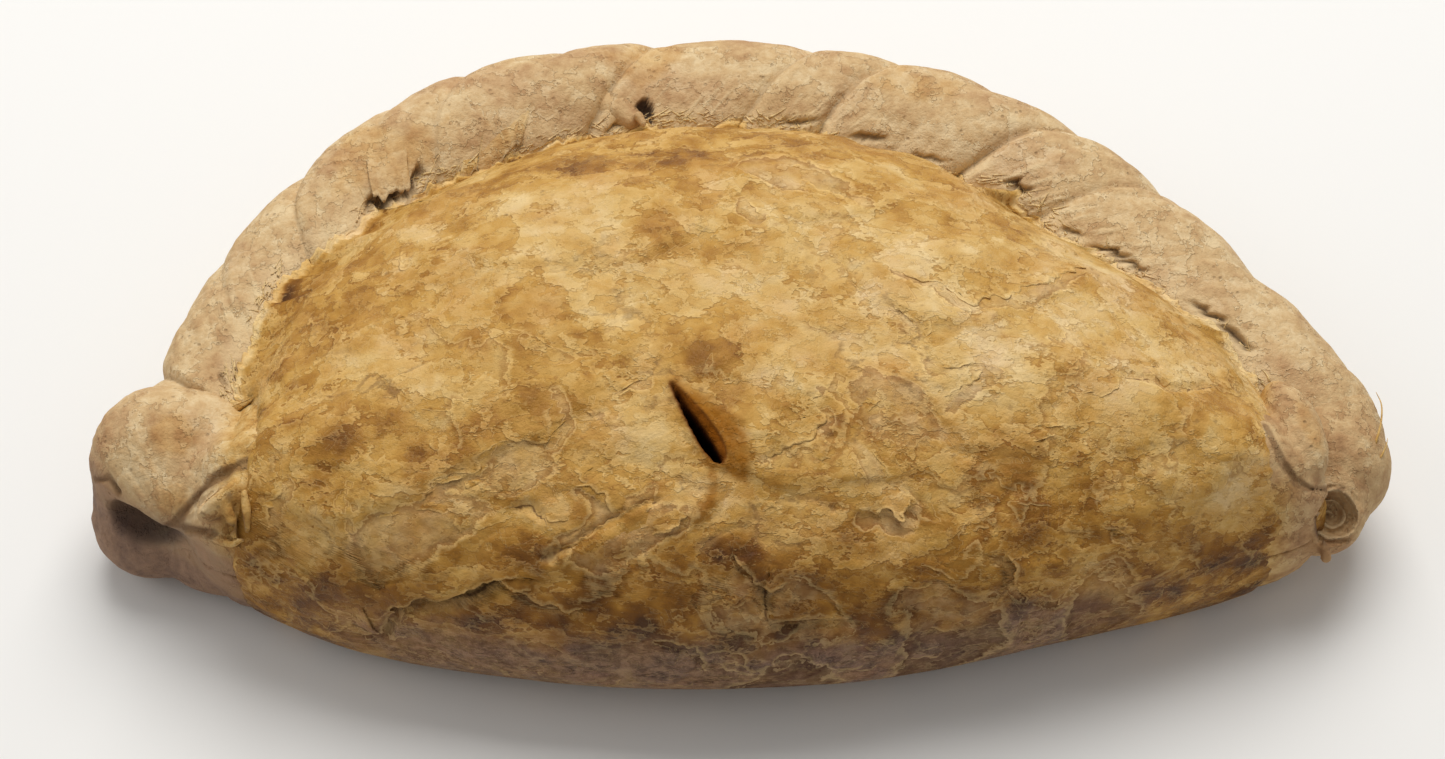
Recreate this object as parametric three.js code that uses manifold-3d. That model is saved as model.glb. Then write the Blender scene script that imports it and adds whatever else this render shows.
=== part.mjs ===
// A hand-crimped Cornish pasty: one piece of baked shortcrust pastry.
// Millimetres, +Z up. The flat underside lies on Z = 0, X runs along the pasty, the rope crimp
// goes round the back (+Y) and the rounded belly faces the front (-Y).
import * as THREE from "three";
import { mergeVertices } from "three/addons/utils/BufferGeometryUtils.js";
import Module from "manifold-3d";

const wasm = await Module();
wasm.setup();

const { clamp, degToRad, euclideanModulo, lerp, smoothstep } = THREE.MathUtils;

// Main sizes of the filled body
const bodyCentre = new THREE.Vector2(4, -1);
const bodyHeight = 47.5;
const bellyWidest = 17; // height of the widest line above the tray
const domeFullness = 2.3; // 2 is an ellipse, more is a fuller cushion
const trayInset = 13; // how far the belly curls in before it meets the tray

// How finely the body is divided: the lengths of the triangles' sides, and the rows of them
const lidEdge = 4.8;
const lidRows = 18;
const underEdge = 6;
const underRows = 3;

// Relief of the crust
const lumpSize = 16;
const lumpHeight = 0.9;
const blisterSize = 6.5;
const blisterHeight = 0.45;

// The body's widest line in plan: from the right end over the back, where the crimp hides it,
// to the left end, and along the belly to the right again
const bodyOutline = [
  [96, -25],
  [88, -9],
  [78, 7],
  [61, 21],
  [41, 35],
  [19, 44.5],
  [-4, 47.5],
  [-29, 44],
  [-50, 33.5],
  [-66, 18],
  [-76, 2],
  [-80, -16],
  [-85, -29],
  [-64, -42],
  [-38, -48.5],
  [-8, -51.5],
  [25, -49.7],
  [56, -42],
  [84, -33.5],
];

// The crimp: the rope's centre line, from the knob at the left to the tip at the right
const crimpPath = new THREE.CatmullRomCurve3(
  [
    [-94, -26.5, 16.5],
    [-87.5, -12, 18],
    [-82, 1.5, 18],
    [-72.5, 22.5, 19],
    [-55, 43.8, 20],
    [-30.5, 55.5, 21],
    [0, 57.7, 21],
    [30, 52.8, 21],
    [54, 41, 20],
    [74.5, 21, 18.5],
    [91, 0.5, 17],
    [97.5, -13, 15.5],
    [96, -26.5, 14],
  ].map(([x, y, z]) => new THREE.Vector3(x, y, z)),
  false,
  "catmullrom",
  0.5,
);
const crimpLength = crimpPath.getLength();
const crimpSides = 18;

// Radius of the rope along its length, as [distance from the knob's end, radius]
const crimpRadii = [
  [0, 12],
  [16, 12],
  [27, 9.6],
  [50, 10],
  [110, 10.3],
  [195, 10.8],
  [250, 10.5],
  [285, 10],
];

// Each fold of the rope was pressed over the last by a thumb, so no two are equal.
// Every row is a fold's width and the depth of the crease that it starts from; the first is the knob.
const folds = [
  [25, 0],
  [22, 2.4],
  [20, 1.6],
  [19, 2.4],
  [12.5, 1.2],
  [16.5, 1.8],
  [14, 2],
  [27, 2.4],
  [13.5, 2.2],
  [15.5, 2.4],
  [13.5, 1.8],
  [17.5, 2.8],
  [20, 2.4],
  [20.5, 2],
  [13, 1.4],
  [22, 1.8],
];
const foldRows = [0, 0.1, 0.24, 0.42, 0.64, 0.86]; // places across a fold, from crease to crease
const foldCrown = 0.4; // a fold stands highest here, then dives under the next
const seamReach = 1.3; // the rope is this many times wider on the side where it joins the body
const creaseLean = 13; // how far a crease runs back along the rope from its outer to its inner side
const doughRelief = 0.4;

// The steam vent, cut through the lid with a knife's tip
const vent = { x: -3.9, y: -25.2, length: 15, width: 5, depth: 9, heading: -57, narrowing: 0.55 };

// The left end of the rope under the knob: its corner, tucked under and pressed to the body, and a rolled edge
const tuckedEnd = [
  { at: [-92.5, -22, 8.6], radii: [8, 8, 8.3], turn: 0 },
  { at: [-84, -26, 8.5], radii: [13, 7, 7.2], turn: -14 },
  { at: [-81.5, -25.5, 24], radii: [9.5, 5.5, 6], turn: 30 },
];

// Small hollows: the curled end of the rope's tip, the mouth under the knob, and where a fold did not close
const hollows = [
  { at: [97.8, -27.5, 17], radii: [6, 4.5, 5.5], turn: 20 },
  { at: [-91, -30.5, 16.5], radii: [7, 5, 3.4], turn: 10 },
  { at: [-13.4, 48.6, 28.6], radii: [1.6, 2.8, 2.4], turn: 0 },
];
const tipCurl = { at: [97.4, -25.5, 16.8], radius: 2.9, thickness: 1.2, lean: 70, turn: 15 };

// Sheets of flaky crust with one torn edge standing proud: [x, y, length, width, turn in degrees].
// The torn edge faces the belly, or the crimp where the sheet is turned round.
const crustSheets = [
  [38, 5, 40, 24, -4],
  [-46, -24, 44, 22, 10],
  [-18, -38, 34, 13, 16],
  [40, -18, 30, 20, -6],
  [70, -22, 24, 18, 8],
  [-22, 14, 44, 22, 6],
  [14, 20, 26, 14, -24],
  [14, -28, 28, 15, -10],
  [46, -38, 38, 12, 12],
  [-8, 35.5, 52, 9, 180],
  [-47, 20, 36, 9, 218],
  [40, 24, 44, 9, 144],
];
const sheetEdge = 0.9; // how proud the torn edge stands
const sheetRoot = 1.3; // depth of a sheet's underside inside the crust
const sheetTear = 0.26; // how ragged its outline is
const sheetCorners = 26;
// The rings of points that a sheet is made of, as [share of the way to its outline, points]
const sheetRings = [
  [0.3, 7],
  [0.6, 14],
  [0.84, 26],
  [1, 26],
];

// A repeatable stream of numbers from 0 to 1
function seeded(seed) {
  let state = seed;
  return () => {
    state = (state * 16807) % 2147483647;
    return state / 2147483647;
  };
}

// Smooth noise from -1 to 1, with one bump for each unit of distance
function cornerValue(i, j, k) {
  const value = Math.sin(i * 127.1 + j * 311.7 + k * 74.7) * 43758.5453;
  return 2 * (value - Math.floor(value)) - 1;
}

function noise(x, y, z) {
  const [i, j, k] = [Math.floor(x), Math.floor(y), Math.floor(z)];
  const [u, v, w] = [x - i, y - j, z - k].map((f) => f * f * (3 - 2 * f));
  const along = (b, c) => lerp(cornerValue(i, b, c), cornerValue(i + 1, b, c), u);
  const across = (c) => lerp(along(j, c), along(j + 1, c), v);
  return lerp(across(k), across(k + 1), w);
}

// A value from a table of [place, value] rows
function fromTable(rows, place) {
  let n = 0;
  while (n < rows.length - 2 && rows[n + 1][0] < place) n++;
  const [[a, from], [b, to]] = [rows[n], rows[n + 1]];
  return lerp(from, to, smoothstep(place, a, b));
}

// The rope's frame at a distance along it: its centre, and the level direction away from the body
function crimpFrame(distance) {
  const t = clamp(distance / crimpLength, 0, 1);
  const centre = crimpPath.getPointAt(t);
  const along = crimpPath.getTangentAt(t);
  const out = new THREE.Vector3(-along.y, along.x, 0).normalize();
  return { centre, out, along };
}

// The body's rim as a distance from bodyCentre for each direction, in a table of equal steps
const rimSteps = 720;
const rim = new THREE.CatmullRomCurve3(
  bodyOutline.map(([x, y]) => new THREE.Vector3(x, y, 0)),
  true,
  "catmullrom",
  0.5,
);
const rimLength = rim.getLength();
const rimTable = makeRimTable();

function makeRimTable() {
  const samples = rim.getSpacedPoints(rimSteps).map((p) => {
    const [x, y] = [p.x - bodyCentre.x, p.y - bodyCentre.y];
    return [euclideanModulo(Math.atan2(y, x), 2 * Math.PI), Math.hypot(x, y)];
  });
  samples.sort((a, b) => a[0] - b[0]);
  const first = samples[0];
  const last = samples[samples.length - 1];
  samples.unshift([last[0] - 2 * Math.PI, last[1]]);
  samples.push([first[0] + 2 * Math.PI, first[1]]);
  const table = [];
  let n = 0;
  for (let step = 0; step < rimSteps; step++) {
    const angle = (step / rimSteps) * 2 * Math.PI;
    while (samples[n + 1][0] < angle) n++;
    const [a, b] = [samples[n], samples[n + 1]];
    table.push(lerp(a[1], b[1], (angle - a[0]) / (b[0] - a[0])));
  }
  return table;
}

function rimRadius(angle) {
  const place = (euclideanModulo(angle, 2 * Math.PI) / (2 * Math.PI)) * rimSteps;
  const n = Math.floor(place) % rimSteps;
  return lerp(rimTable[n], rimTable[(n + 1) % rimSteps], place - Math.floor(place));
}

// How far the crust stands out of the smooth body: lumps of filling press the lid up, and it blistered.
// Both fade out towards the tray.
function crustRelief(p) {
  const lumps = lumpHeight * noise(p.x / lumpSize, p.y / lumpSize, p.z / lumpSize);
  const blisters = blisterHeight * noise(p.x / blisterSize, p.y / blisterSize, p.z / blisterSize);
  return (lumps + blisters) * smoothstep(p.z, 3, 16);
}

// The smooth body: angle round bodyCentre, and tilt from 0 at the top over 90 at the rim to 180 at the tray
function bodyPoint(angle, tilt) {
  const radius = rimRadius(angle);
  const low = tilt > Math.PI / 2;
  const power = 2 / domeFullness;
  const wide = Math.pow(Math.abs(Math.sin(tilt)), power);
  const high = Math.pow(Math.abs(Math.cos(tilt)), power);
  const reach = low ? radius - trayInset * (1 - wide) : radius * wide;
  const z = low ? bellyWidest * (1 - high) : bellyWidest + (bodyHeight - bellyWidest) * high;
  return new THREE.Vector3(
    bodyCentre.x + reach * Math.cos(angle),
    bodyCentre.y + reach * Math.sin(angle),
    z,
  );
}

function bodyNormal(angle, tilt) {
  const step = 0.01;
  const round = bodyPoint(angle + step, tilt).sub(bodyPoint(angle - step, tilt));
  const down = bodyPoint(angle, tilt + step).sub(bodyPoint(angle, tilt - step));
  return down.cross(round).normalize();
}

// The crust's surface, or a point lifted off it
function crustPoint(angle, tilt, lift = 0) {
  const p = bodyPoint(angle, tilt);
  const normal = bodyNormal(angle, Math.max(tilt, degToRad(2)));
  return p.addScaledVector(normal, crustRelief(p) + lift);
}

// The crust over a place in plan
function crustOver(x, y, lift) {
  const angle = Math.atan2(y - bodyCentre.y, x - bodyCentre.x);
  const share = Math.hypot(x - bodyCentre.x, y - bodyCentre.y) / rimRadius(angle);
  const tilt = Math.asin(Math.pow(Math.min(share, 1), domeFullness / 2));
  return crustPoint(angle, tilt, lift);
}

// Joins two rings of points, which may differ in number, by the shorter diagonal each time
function stitch(ringA, ringB, triangles) {
  let [a, b] = [0, 0];
  while (a < ringA.length || b < ringB.length) {
    const [nextA, nextB] = [(a + 1) / ringA.length, (b + 1) / ringB.length];
    const [pa, pb] = [ringA[a % ringA.length], ringB[b % ringB.length]];
    if (b >= ringB.length || (a < ringA.length && nextA <= nextB)) {
      triangles.push([pa, pb, ringA[(a + 1) % ringA.length]]);
      a++;
    } else {
      triangles.push([pa, pb, ringB[(b + 1) % ringB.length]]);
      b++;
    }
  }
}

function fan(point, ring, triangles) {
  ring.forEach((p, n) => triangles.push([point, p, ring[(n + 1) % ring.length]]));
}

// A closed shape as a solid, with the vertices that its triangles share merged
function solidFrom(shape) {
  const plain = new THREE.BufferGeometry().setAttribute("position", shape.getAttribute("position"));
  const merged = mergeVertices(plain.setIndex(shape.index), 1e-4);
  return new wasm.Manifold(
    new wasm.Mesh({
      numProp: 3,
      vertProperties: merged.getAttribute("position").array,
      triVerts: new Uint32Array(merged.index.array),
    }),
  );
}

// Rings of points that run down from one end point to another, as a closed solid
function solidOfRings(start, rings, end) {
  const triangles = [];
  fan(start, rings[0], triangles);
  for (let n = 1; n < rings.length; n++) stitch(rings[n - 1], rings[n], triangles);
  fan(end, rings[rings.length - 1].slice().reverse(), triangles);
  return solidFrom(new THREE.BufferGeometry().setFromPoints(triangles.flat()));
}

function makeBody() {
  const rings = [];
  const halfRound = Math.PI / 2;
  for (let row = 1; row <= lidRows + underRows; row++) {
    const under = row > lidRows;
    const tilt = halfRound * (under ? 1 + (row - lidRows) / underRows : row / lidRows);
    const size = Math.pow(Math.sin(Math.min(tilt, halfRound)), 2 / domeFullness);
    const count = Math.round((size * rimLength) / (under ? underEdge : lidEdge));
    const ring = [];
    for (let n = 0; n < count; n++) ring.push(crustPoint((n / count) * 2 * Math.PI, tilt));
    rings.push(ring);
  }
  const foot = rings[rings.length - 1];
  for (const p of foot) p.setZ(0);
  return solidOfRings(crustPoint(0, 0), rings, new THREE.Vector3(bodyCentre.x, bodyCentre.y, 0));
}

// How far a crease has run along the rope at an angle round it. Angles go from 0 at the outer side up
// over the top; past the inner side, where the body hides it, the crease comes back to where it began.
function leanAt(round) {
  const [under, outer, inner] = [-90, 35, 150].map(degToRad);
  const perAngle = creaseLean / (inner - outer);
  if (round < inner) return perAngle * (round - outer);
  return lerp(creaseLean, perAngle * (under - outer), smoothstep(round, inner, under + 2 * Math.PI));
}

// How much of a crease shows at an angle round the rope: all of it above, none of it underneath
function creaseShown(round) {
  const [under, outer, inner, below] = [-80, -20, 190, 250].map(degToRad);
  return smoothstep(round, under, outer) * (1 - smoothstep(round, inner, below));
}

// The rope's surface for a row across it, sunk so far towards a crease, at an angle round the rope
function crimpPoint(row, sunk, round) {
  const leaning = smoothstep(row, 14, 44) * (1 - smoothstep(row, crimpLength - 34, crimpLength - 10));
  const distance = clamp(row - leanAt(round) * leaning, 0, crimpLength);
  const { centre, out } = crimpFrame(distance);
  const radius = fromTable(crimpRadii, distance);
  const fromEnd = Math.min(distance, crimpLength - distance, radius);
  const domedEnd = Math.sqrt(1 - (1 - fromEnd / radius) ** 2);
  const [across, up] = [Math.cos(round), Math.sin(round)];
  const uneven = doughRelief * noise(centre.x / 9 + across, centre.y / 9 + up, 0.5);
  const reach = (radius - sunk * creaseShown(round) + uneven) * domedEnd;
  return centre
    .clone()
    .addScaledVector(out, reach * across * (across < 0 ? seamReach : 1))
    .setZ(centre.z + reach * up);
}

function makeCrimp() {
  const rows = [];
  let start = 0;
  folds.forEach(([width, depth], n) => {
    const nextDepth = n + 1 < folds.length ? folds[n + 1][1] : 0;
    for (const share of foldRows) {
      const rising = share < foldCrown;
      const fromCrown = rising ? 1 - share / foldCrown : (share - foldCrown) / (1 - foldCrown);
      rows.push([start + share * width, (rising ? depth : nextDepth) * fromCrown ** 3]);
    }
    start += width;
  });
  const rings = rows
    .filter(([row]) => row > 0 && row < crimpLength - 1)
    .map(([row, sunk]) =>
      Array.from({ length: crimpSides }, (_, n) => {
        const round = 2 * Math.PI * (n / crimpSides) - Math.PI / 2;
        return crimpPoint(row, sunk, round);
      }),
    );
  return solidOfRings(crimpPath.getPointAt(1), rings.reverse(), crimpPath.getPointAt(0));
}

// A blob of dough, or the hollow that one would fill
function makeBlob({ at, radii, turn }) {
  const shape = new THREE.SphereGeometry(1, 14, 10);
  shape.scale(...radii).rotateZ(degToRad(turn)).translate(...at);
  return solidFrom(shape);
}

// The curl of dough inside the rope's tip
function makeTipCurl() {
  const { at, radius, thickness, lean, turn } = tipCurl;
  const shape = new THREE.TorusGeometry(radius, thickness, 7, 14);
  shape.rotateX(degToRad(lean)).rotateZ(degToRad(turn)).translate(...at);
  return solidFrom(shape);
}

// A sheet of crust, proud along its torn front edge and running into the crust at its back
function makeSheet([x, y, length, width, turn], number) {
  const random = seeded(40 + 7 * number);
  const heading = degToRad(turn);
  const tears = Array.from({ length: sheetCorners }, () => 1 + sheetTear * (random() - 0.5));
  const place = (share, corner, lift) => {
    const angle = (corner / sheetCorners) * 2 * Math.PI;
    const drift = 1 + 0.14 * Math.sin(2 * angle + number) + 0.1 * Math.sin(3 * angle + 2 * number);
    const reach = share * drift * lerp(1, tears[Math.round(corner) % sheetCorners], share);
    const [along, across] = [(length / 2) * reach * Math.cos(angle), (width / 2) * reach * Math.sin(angle)];
    const rise = sheetEdge * clamp(0.55 - 0.9 * share * Math.sin(angle), -0.4, 1);
    return crustOver(
      x + along * Math.cos(heading) - across * Math.sin(heading),
      y + along * Math.sin(heading) + across * Math.cos(heading),
      lift ?? rise,
    );
  };
  const ring = (share, count, lift) =>
    Array.from({ length: count }, (_, n) => place(share, (n / count) * sheetCorners, lift));
  const rings = sheetRings.map(([share, count]) => ring(share, count));
  rings.push(ring(1, sheetCorners, -sheetRoot));
  return solidOfRings(place(0, 0), rings, place(0, 0, -sheetRoot));
}

// The vent's hollow: a straight-walled wedge into the crust, sharp at its upper end and blunt at its lower
function makeVent() {
  const { x, y, length, width, depth, heading, narrowing } = vent;
  const centre = crustOver(x, y, 0);
  const down = crustOver(x, y, -1).sub(centre);
  const ahead = new THREE.Vector3(Math.cos(degToRad(heading)), Math.sin(degToRad(heading)), 0);
  const aside = new THREE.Vector3().crossVectors(ahead, down).normalize();
  const along = new THREE.Vector3().crossVectors(down, aside).normalize();
  const sides = 18;
  const level = (below) => centre.clone().addScaledVector(down, below);
  const ring = (below, scale) =>
    Array.from({ length: sides }, (_, n) => {
      const angle = (n / sides) * 2 * Math.PI;
      const blunt = 0.62 + 0.38 * Math.cos(angle);
      return level(below)
        .addScaledVector(along, (length / 2) * scale * Math.cos(angle))
        .addScaledVector(aside, (width / 2) * scale * blunt * Math.sin(angle));
    });
  const above = 4;
  return solidOfRings(level(-above), [ring(-above, 1), ring(0, 1), ring(depth, narrowing)], level(depth));
}

function makePasty() {
  const raised = [makeCrimp(), ...tuckedEnd.map(makeBlob), ...crustSheets.map(makeSheet)];
  const whole = raised.reduce((pasty, piece) => pasty.add(piece), makeBody());
  const hollowed = hollows.map(makeBlob).reduce((pasty, hollow) => pasty.subtract(hollow), whole);
  return hollowed.add(makeTipCurl()).subtract(makeVent());
}

// The solid as a geometry, moved so that the middle of its plan is at the origin
function geometryOf(solid) {
  const { numProp, numVert, vertProperties, triVerts } = solid.getMesh();
  const positions = new Float32Array(numVert * 3);
  for (let n = 0; n < numVert; n++)
    positions.set(vertProperties.subarray(n * numProp, n * numProp + 3), n * 3);
  const geometry = new THREE.BufferGeometry()
    .setAttribute("position", new THREE.BufferAttribute(positions, 3))
    .setIndex(new THREE.BufferAttribute(triVerts, 1));
  geometry.computeVertexNormals();
  geometry.computeBoundingBox();
  const middle = geometry.boundingBox.getCenter(new THREE.Vector3());
  return geometry.translate(-middle.x, -middle.y, 0);
}

const crust = new THREE.MeshStandardMaterial({ color: 0xc69a5c, roughness: 0.62, metalness: 0 });
const mesh = new THREE.Mesh(geometryOf(makePasty()), crust);
mesh.name = "pasty";

const pasty = new THREE.Group();
pasty.add(mesh);
export default pasty;
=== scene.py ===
import math

import bpy
import numpy as np
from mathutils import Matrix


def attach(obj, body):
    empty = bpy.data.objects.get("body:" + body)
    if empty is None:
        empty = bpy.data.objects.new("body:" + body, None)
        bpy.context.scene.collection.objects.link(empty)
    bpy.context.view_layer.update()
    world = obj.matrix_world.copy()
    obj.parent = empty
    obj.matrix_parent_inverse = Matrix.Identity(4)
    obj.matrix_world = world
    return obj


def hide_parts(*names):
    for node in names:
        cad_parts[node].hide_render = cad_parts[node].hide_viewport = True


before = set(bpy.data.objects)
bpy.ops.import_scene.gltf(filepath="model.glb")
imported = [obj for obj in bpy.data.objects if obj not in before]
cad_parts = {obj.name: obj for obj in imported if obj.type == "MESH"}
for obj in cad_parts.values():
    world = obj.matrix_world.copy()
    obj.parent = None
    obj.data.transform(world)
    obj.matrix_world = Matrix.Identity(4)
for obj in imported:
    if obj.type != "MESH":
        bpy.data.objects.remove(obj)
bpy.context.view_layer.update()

# The view: from in front of the belly, well above it, with a long lens.
# The pasty lies on a plain pale floor under a large soft light above and behind it and a weaker one at
# its left. Both lights point at the origin.
view_target = (-0.0032, -0.0080, 0.0200)
view_distance = 0.480
view_elevation = math.radians(55)
view_lens = 73.9

camera = bpy.data.objects.new("camera", bpy.data.cameras.new("camera"))
camera.data.lens = view_lens
camera.data.sensor_width = 36
camera.data.clip_start = 0.02
camera.location = (
    view_target[0],
    view_target[1] - view_distance * math.cos(view_elevation),
    view_target[2] + view_distance * math.sin(view_elevation),
)
camera.rotation_euler = (math.pi / 2 - view_elevation, 0, 0)
bpy.context.collection.objects.link(camera)
bpy.context.scene.camera = camera
bpy.context.scene.view_settings.view_transform = "Standard"


def add_soft_light(name, size, power, place, colour):
    light = bpy.data.lights.new(name, "AREA")
    light.size = size
    light.energy = power
    light.color = colour
    lamp = bpy.data.objects.new(name, light)
    lamp.location = place
    heading = -lamp.location.normalized()
    lamp.rotation_euler = heading.to_track_quat("-Z", "Y").to_euler()
    bpy.context.collection.objects.link(lamp)


add_soft_light("overhead_light", 0.8, 11.0, (0.05, 0.55, 0.95), (1.0, 0.985, 0.96))
add_soft_light("left_light", 0.7, 1.6, (-0.9, 0.1, 0.7), (1.0, 0.99, 0.98))

world = bpy.data.worlds.new("studio")
world.use_nodes = True
world.node_tree.nodes["Background"].inputs["Color"].default_value = (1.0, 0.985, 0.96, 1)
world.node_tree.nodes["Background"].inputs["Strength"].default_value = 0.36
bpy.context.scene.world = world


def new_material(name):
    """A material with its node tree and its shader."""
    material = bpy.data.materials.new(name)
    material.use_nodes = True
    return material, material.node_tree, material.node_tree.nodes["Principled BSDF"]


floor_colour = (0.84, 0.835, 0.82, 1)
floor_reach = 3

floor_material, _, floor_shader = new_material("pale_floor")
floor_shader.inputs["Base Color"].default_value = floor_colour
floor_shader.inputs["Roughness"].default_value = 0.9

floor_mesh = bpy.data.meshes.new("floor")
floor_corners = [(x * floor_reach, y * floor_reach, 0) for x, y in ((-1, -1), (1, -1), (1, 1), (-1, 1))]
floor_mesh.from_pydata(floor_corners, [], [(0, 1, 2, 3)])
floor = bpy.data.objects.new("floor", floor_mesh)
floor.data.materials.append(floor_material)
bpy.context.collection.objects.link(floor)


# The filled body: a round of shortcrust folded over its filling, glazed with egg and baked.
# The lid is pressed up in lumps by what is inside, its top layers have blistered and torn into flaky
# sheets, and the belly rolls in to the flat underside that baked against the tray.
# All sizes are in millimetres, from a point near the middle that middle_of_plan moves to the origin.
middle_of_plan = (3.160, 8.007, 0)
body_centre = (4, -1)
body_height = 47.5
belly_widest = 17
dome_fullness = 2.3
tray_inset = 13
lump_size = 16
lump_height = 0.9
blister_size = 6.5
blister_height = 0.45
body_outline = [
    (96, -25), (88, -9), (78, 7), (61, 21), (41, 35), (19, 44.5), (-4, 47.5), (-29, 44), (-50, 33.5),
    (-66, 18), (-76, 2), (-80, -16), (-85, -29), (-64, -42), (-38, -48.5), (-8, -51.5), (25, -49.7),
    (56, -42), (84, -33.5),
]

# How finely the crust is meshed: rings of points on its lid, belly and base, and how far apart the
# points of a ring lie at the front of the rim
lid_rows = 168
belly_rows = 26
base_rows = 7
rim_edge = 0.54

# The steam vent that a knife's tip cut: its place, length, width and depth, its heading in degrees,
# and the line that juice ran down from its lower end
vent_place = (-3.9, -25.2)
vent_length = 14.4
vent_width = 4.2
vent_depth = 9
vent_heading = -57
vent_drip = [(-1.6, -31.5), (-1.4, -33.7), (-2.0, -35.4), (-2.4, -38.2)]

# Sheets of flaky crust with a torn edge towards the belly, or towards the crimp where turned round:
# place, length, width, and turn in degrees. sheet_edge is how far an edge stands up.
crust_sheets = [
    (38, 5, 40, 24, -4), (-46, -24, 44, 22, 10), (-18, -38, 34, 13, 16), (40, -18, 30, 20, -6),
    (70, -22, 24, 18, 8), (-22, 14, 44, 22, 6), (14, 20, 26, 14, -24), (14, -28, 28, 15, -10),
    (46, -38, 38, 12, 12), (-8, 35.5, 52, 9, 180), (-47, 20, 36, 9, 218), (40, 24, 44, 9, 144),
]
sheet_edge = 0.9

# Layers of smaller torn flakes all over: size of a flake, how thick it is, how much of the crust it
# leaves bare from -1 to 1, and a number that sets its pattern apart
flake_layers = [(15, 0.4, -0.06, 1), (8.5, 0.25, -0.04, 2), (4.6, 0.12, 0.0, 3)]
smallest_layer_with_rims = 8

# Torn edges of the top layer. The sheet lies to the left of each path, which runs along its edge:
# the path, how far the sheet is modelled behind the edge, and how far the edge stands up
torn_edges = [
    ([(-49.1, -36.9), (-46.3, -36.2), (-44.1, -34), (-41.6, -32.1), (-36.5, -31.6), (-35.1, -29.3),
      (-29.6, -27.6), (-25.8, -27.8), (-24.3, -24.3), (-25.9, -21), (-28, -18)], 9, 0.9),
    ([(23.6, 3.6), (25.8, 2.3), (29.4, 0.6), (33.4, -0.6), (37, -3.6), (40, -2.4), (45.6, -0.9),
      (49.1, 1.7), (51.8, 3.5), (55.6, 7.5), (59.2, 12.1)], 10, 1.0),
    ([(2.9, -30.8), (5.3, -30.4), (8.7, -29.4), (10.3, -28.1), (13, -26.6), (14.5, -24.4), (13.3, -22.3),
      (13.9, -19.3), (13.5, -16.7)], 7, 0.8),
    ([(-7.5, -36.2), (-9.6, -36.2), (-15.2, -38), (-21.3, -40.9), (-26.3, -42.7)], 7, 0.8),
    ([(62.2, -14.2), (66.2, -14.1), (69.4, -15.1), (73.8, -12.1), (75.7, -12.7)], 6, 0.5),
    ([(-66, -50), (-57, -47.4), (-51.1, -45.7), (-45.8, -45.4), (-41.7, -46), (-35.3, -44.7),
      (-27, -45.1)], 8, 1.1),
    ([(19, -36.8), (21.7, -37.4), (24.2, -37), (26.9, -38.3), (28, -36.5), (31, -34.5)], 7, 1.1),
    ([(6.8, -49.7), (10.9, -49.2), (14.5, -49), (20.2, -48.4)], 5, 0.7),
    ([(44.6, -43.3), (50.5, -43.1), (53.7, -42.1)], 5, 0.8),
    ([(30.1, -48.4), (33.6, -47.9), (36.3, -47.4)], 4, 0.8),
    ([(-4.9, -51.4), (0.8, -51.2), (5.5, -51.6), (9.5, -51.1), (13.9, -51.1), (17.1, -53),
      (21.9, -54.4), (28, -54.6)], 6, 1.0),
    ([(22.9, 13.9), (21.7, 16.6), (18.9, 19.1), (15.1, 20.3), (12.7, 22.1), (6.8, 21.9)], 5, 0.5),
    ([(3.4, 18.9), (4.6, 14.8), (6.2, 13.3), (8.3, 14.5)], 4, 0.6),
    ([(0.2, -42.1), (3.3, -44.6), (6.1, -46.4), (8.6, -46.3), (12.2, -45.8)], 6, 0.8),
    ([(38.3, -41.1), (42.6, -40.8), (44.6, -43.3), (46.3, -44.4)], 6, 0.8),
    ([(-33.4, -45.2), (-29, -46.9), (-24.5, -47.7), (-18.4, -48.5)], 6, 0.8),
    ([(57, -35.4), (61.9, -36.9), (65.2, -37.6)], 5, 0.6),
    ([(-18.5, -20.7), (-12.5, -18.3), (-8.7, -17.2)], 4, 0.4),
    ([(-12.3, -41.9), (-6.4, -39), (-3.4, -37.7)], 5, 0.6),
    ([(24.2, -3.9), (28, -6.1), (31, -9.5)], 5, 0.4),
    ([(30.8, -11.9), (32.9, -16.1), (40.6, -15), (43.6, -17.3)], 6, 0.6),
    ([(31.6, -24.9), (34.3, -20.9), (38.3, -17.6), (42.2, -13.3)], 6, 0.5),
    ([(-70.3, -35.7), (-68.1, -31.7), (-64.2, -28.4)], 5, 0.6),
    ([(-12.4, -50.6), (-3.4, -51.4), (6.1, -56)], 6, 0.9),
    ([(-24.2, -33.2), (-18.3, -36.1), (-15.3, -38.9)], 5, 0.5),
    ([(19.2, -26.2), (23.6, -31.8), (26, -35.9)], 5, 0.5),
]

# Cracks as paths over the crust, each with its depth and half its width
cracks = [
    ([(6.1, -46.4), (6.5, -48.2), (6.5, -49.6)], 0.8, 0.5),
    ([(-26.3, -42.9), (-21.3, -41.1), (-15.2, -38.2), (-9.6, -36.4)], 0.8, 0.45),
    ([(62, -14.6), (66.2, -14.6), (69.4, -15.6), (75, -13)], 0.9, 0.4),
    ([(-54, -46), (-50.9, -45.8), (-45.6, -45.8), (-39.7, -46.2), (-34.9, -45.2)], 1.3, 0.8),
    ([(46, -44.8), (51, -43.9), (54, -42.6)], 0.9, 0.5),
    ([(7.5, -49.9), (13.5, -49.4), (19.7, -48.9)], 0.9, 0.5),
    ([(66.7, -11.2), (66.9, -11.1), (67.1, -11.2)], 0.7, 0.4),
    ([(-30.6, -36.5), (-29, -36.7), (-27.5, -37.9)], 0.9, 0.6),
]

# Soft ridges that run down beside the vent
soft_ridges = [
    [(6.4, -13.8), (6.9, -18.5), (7.4, -23.3), (7.9, -27.4)],
    [(9.6, -13.7), (10.2, -18.5), (10.4, -22.6)],
]

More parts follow.
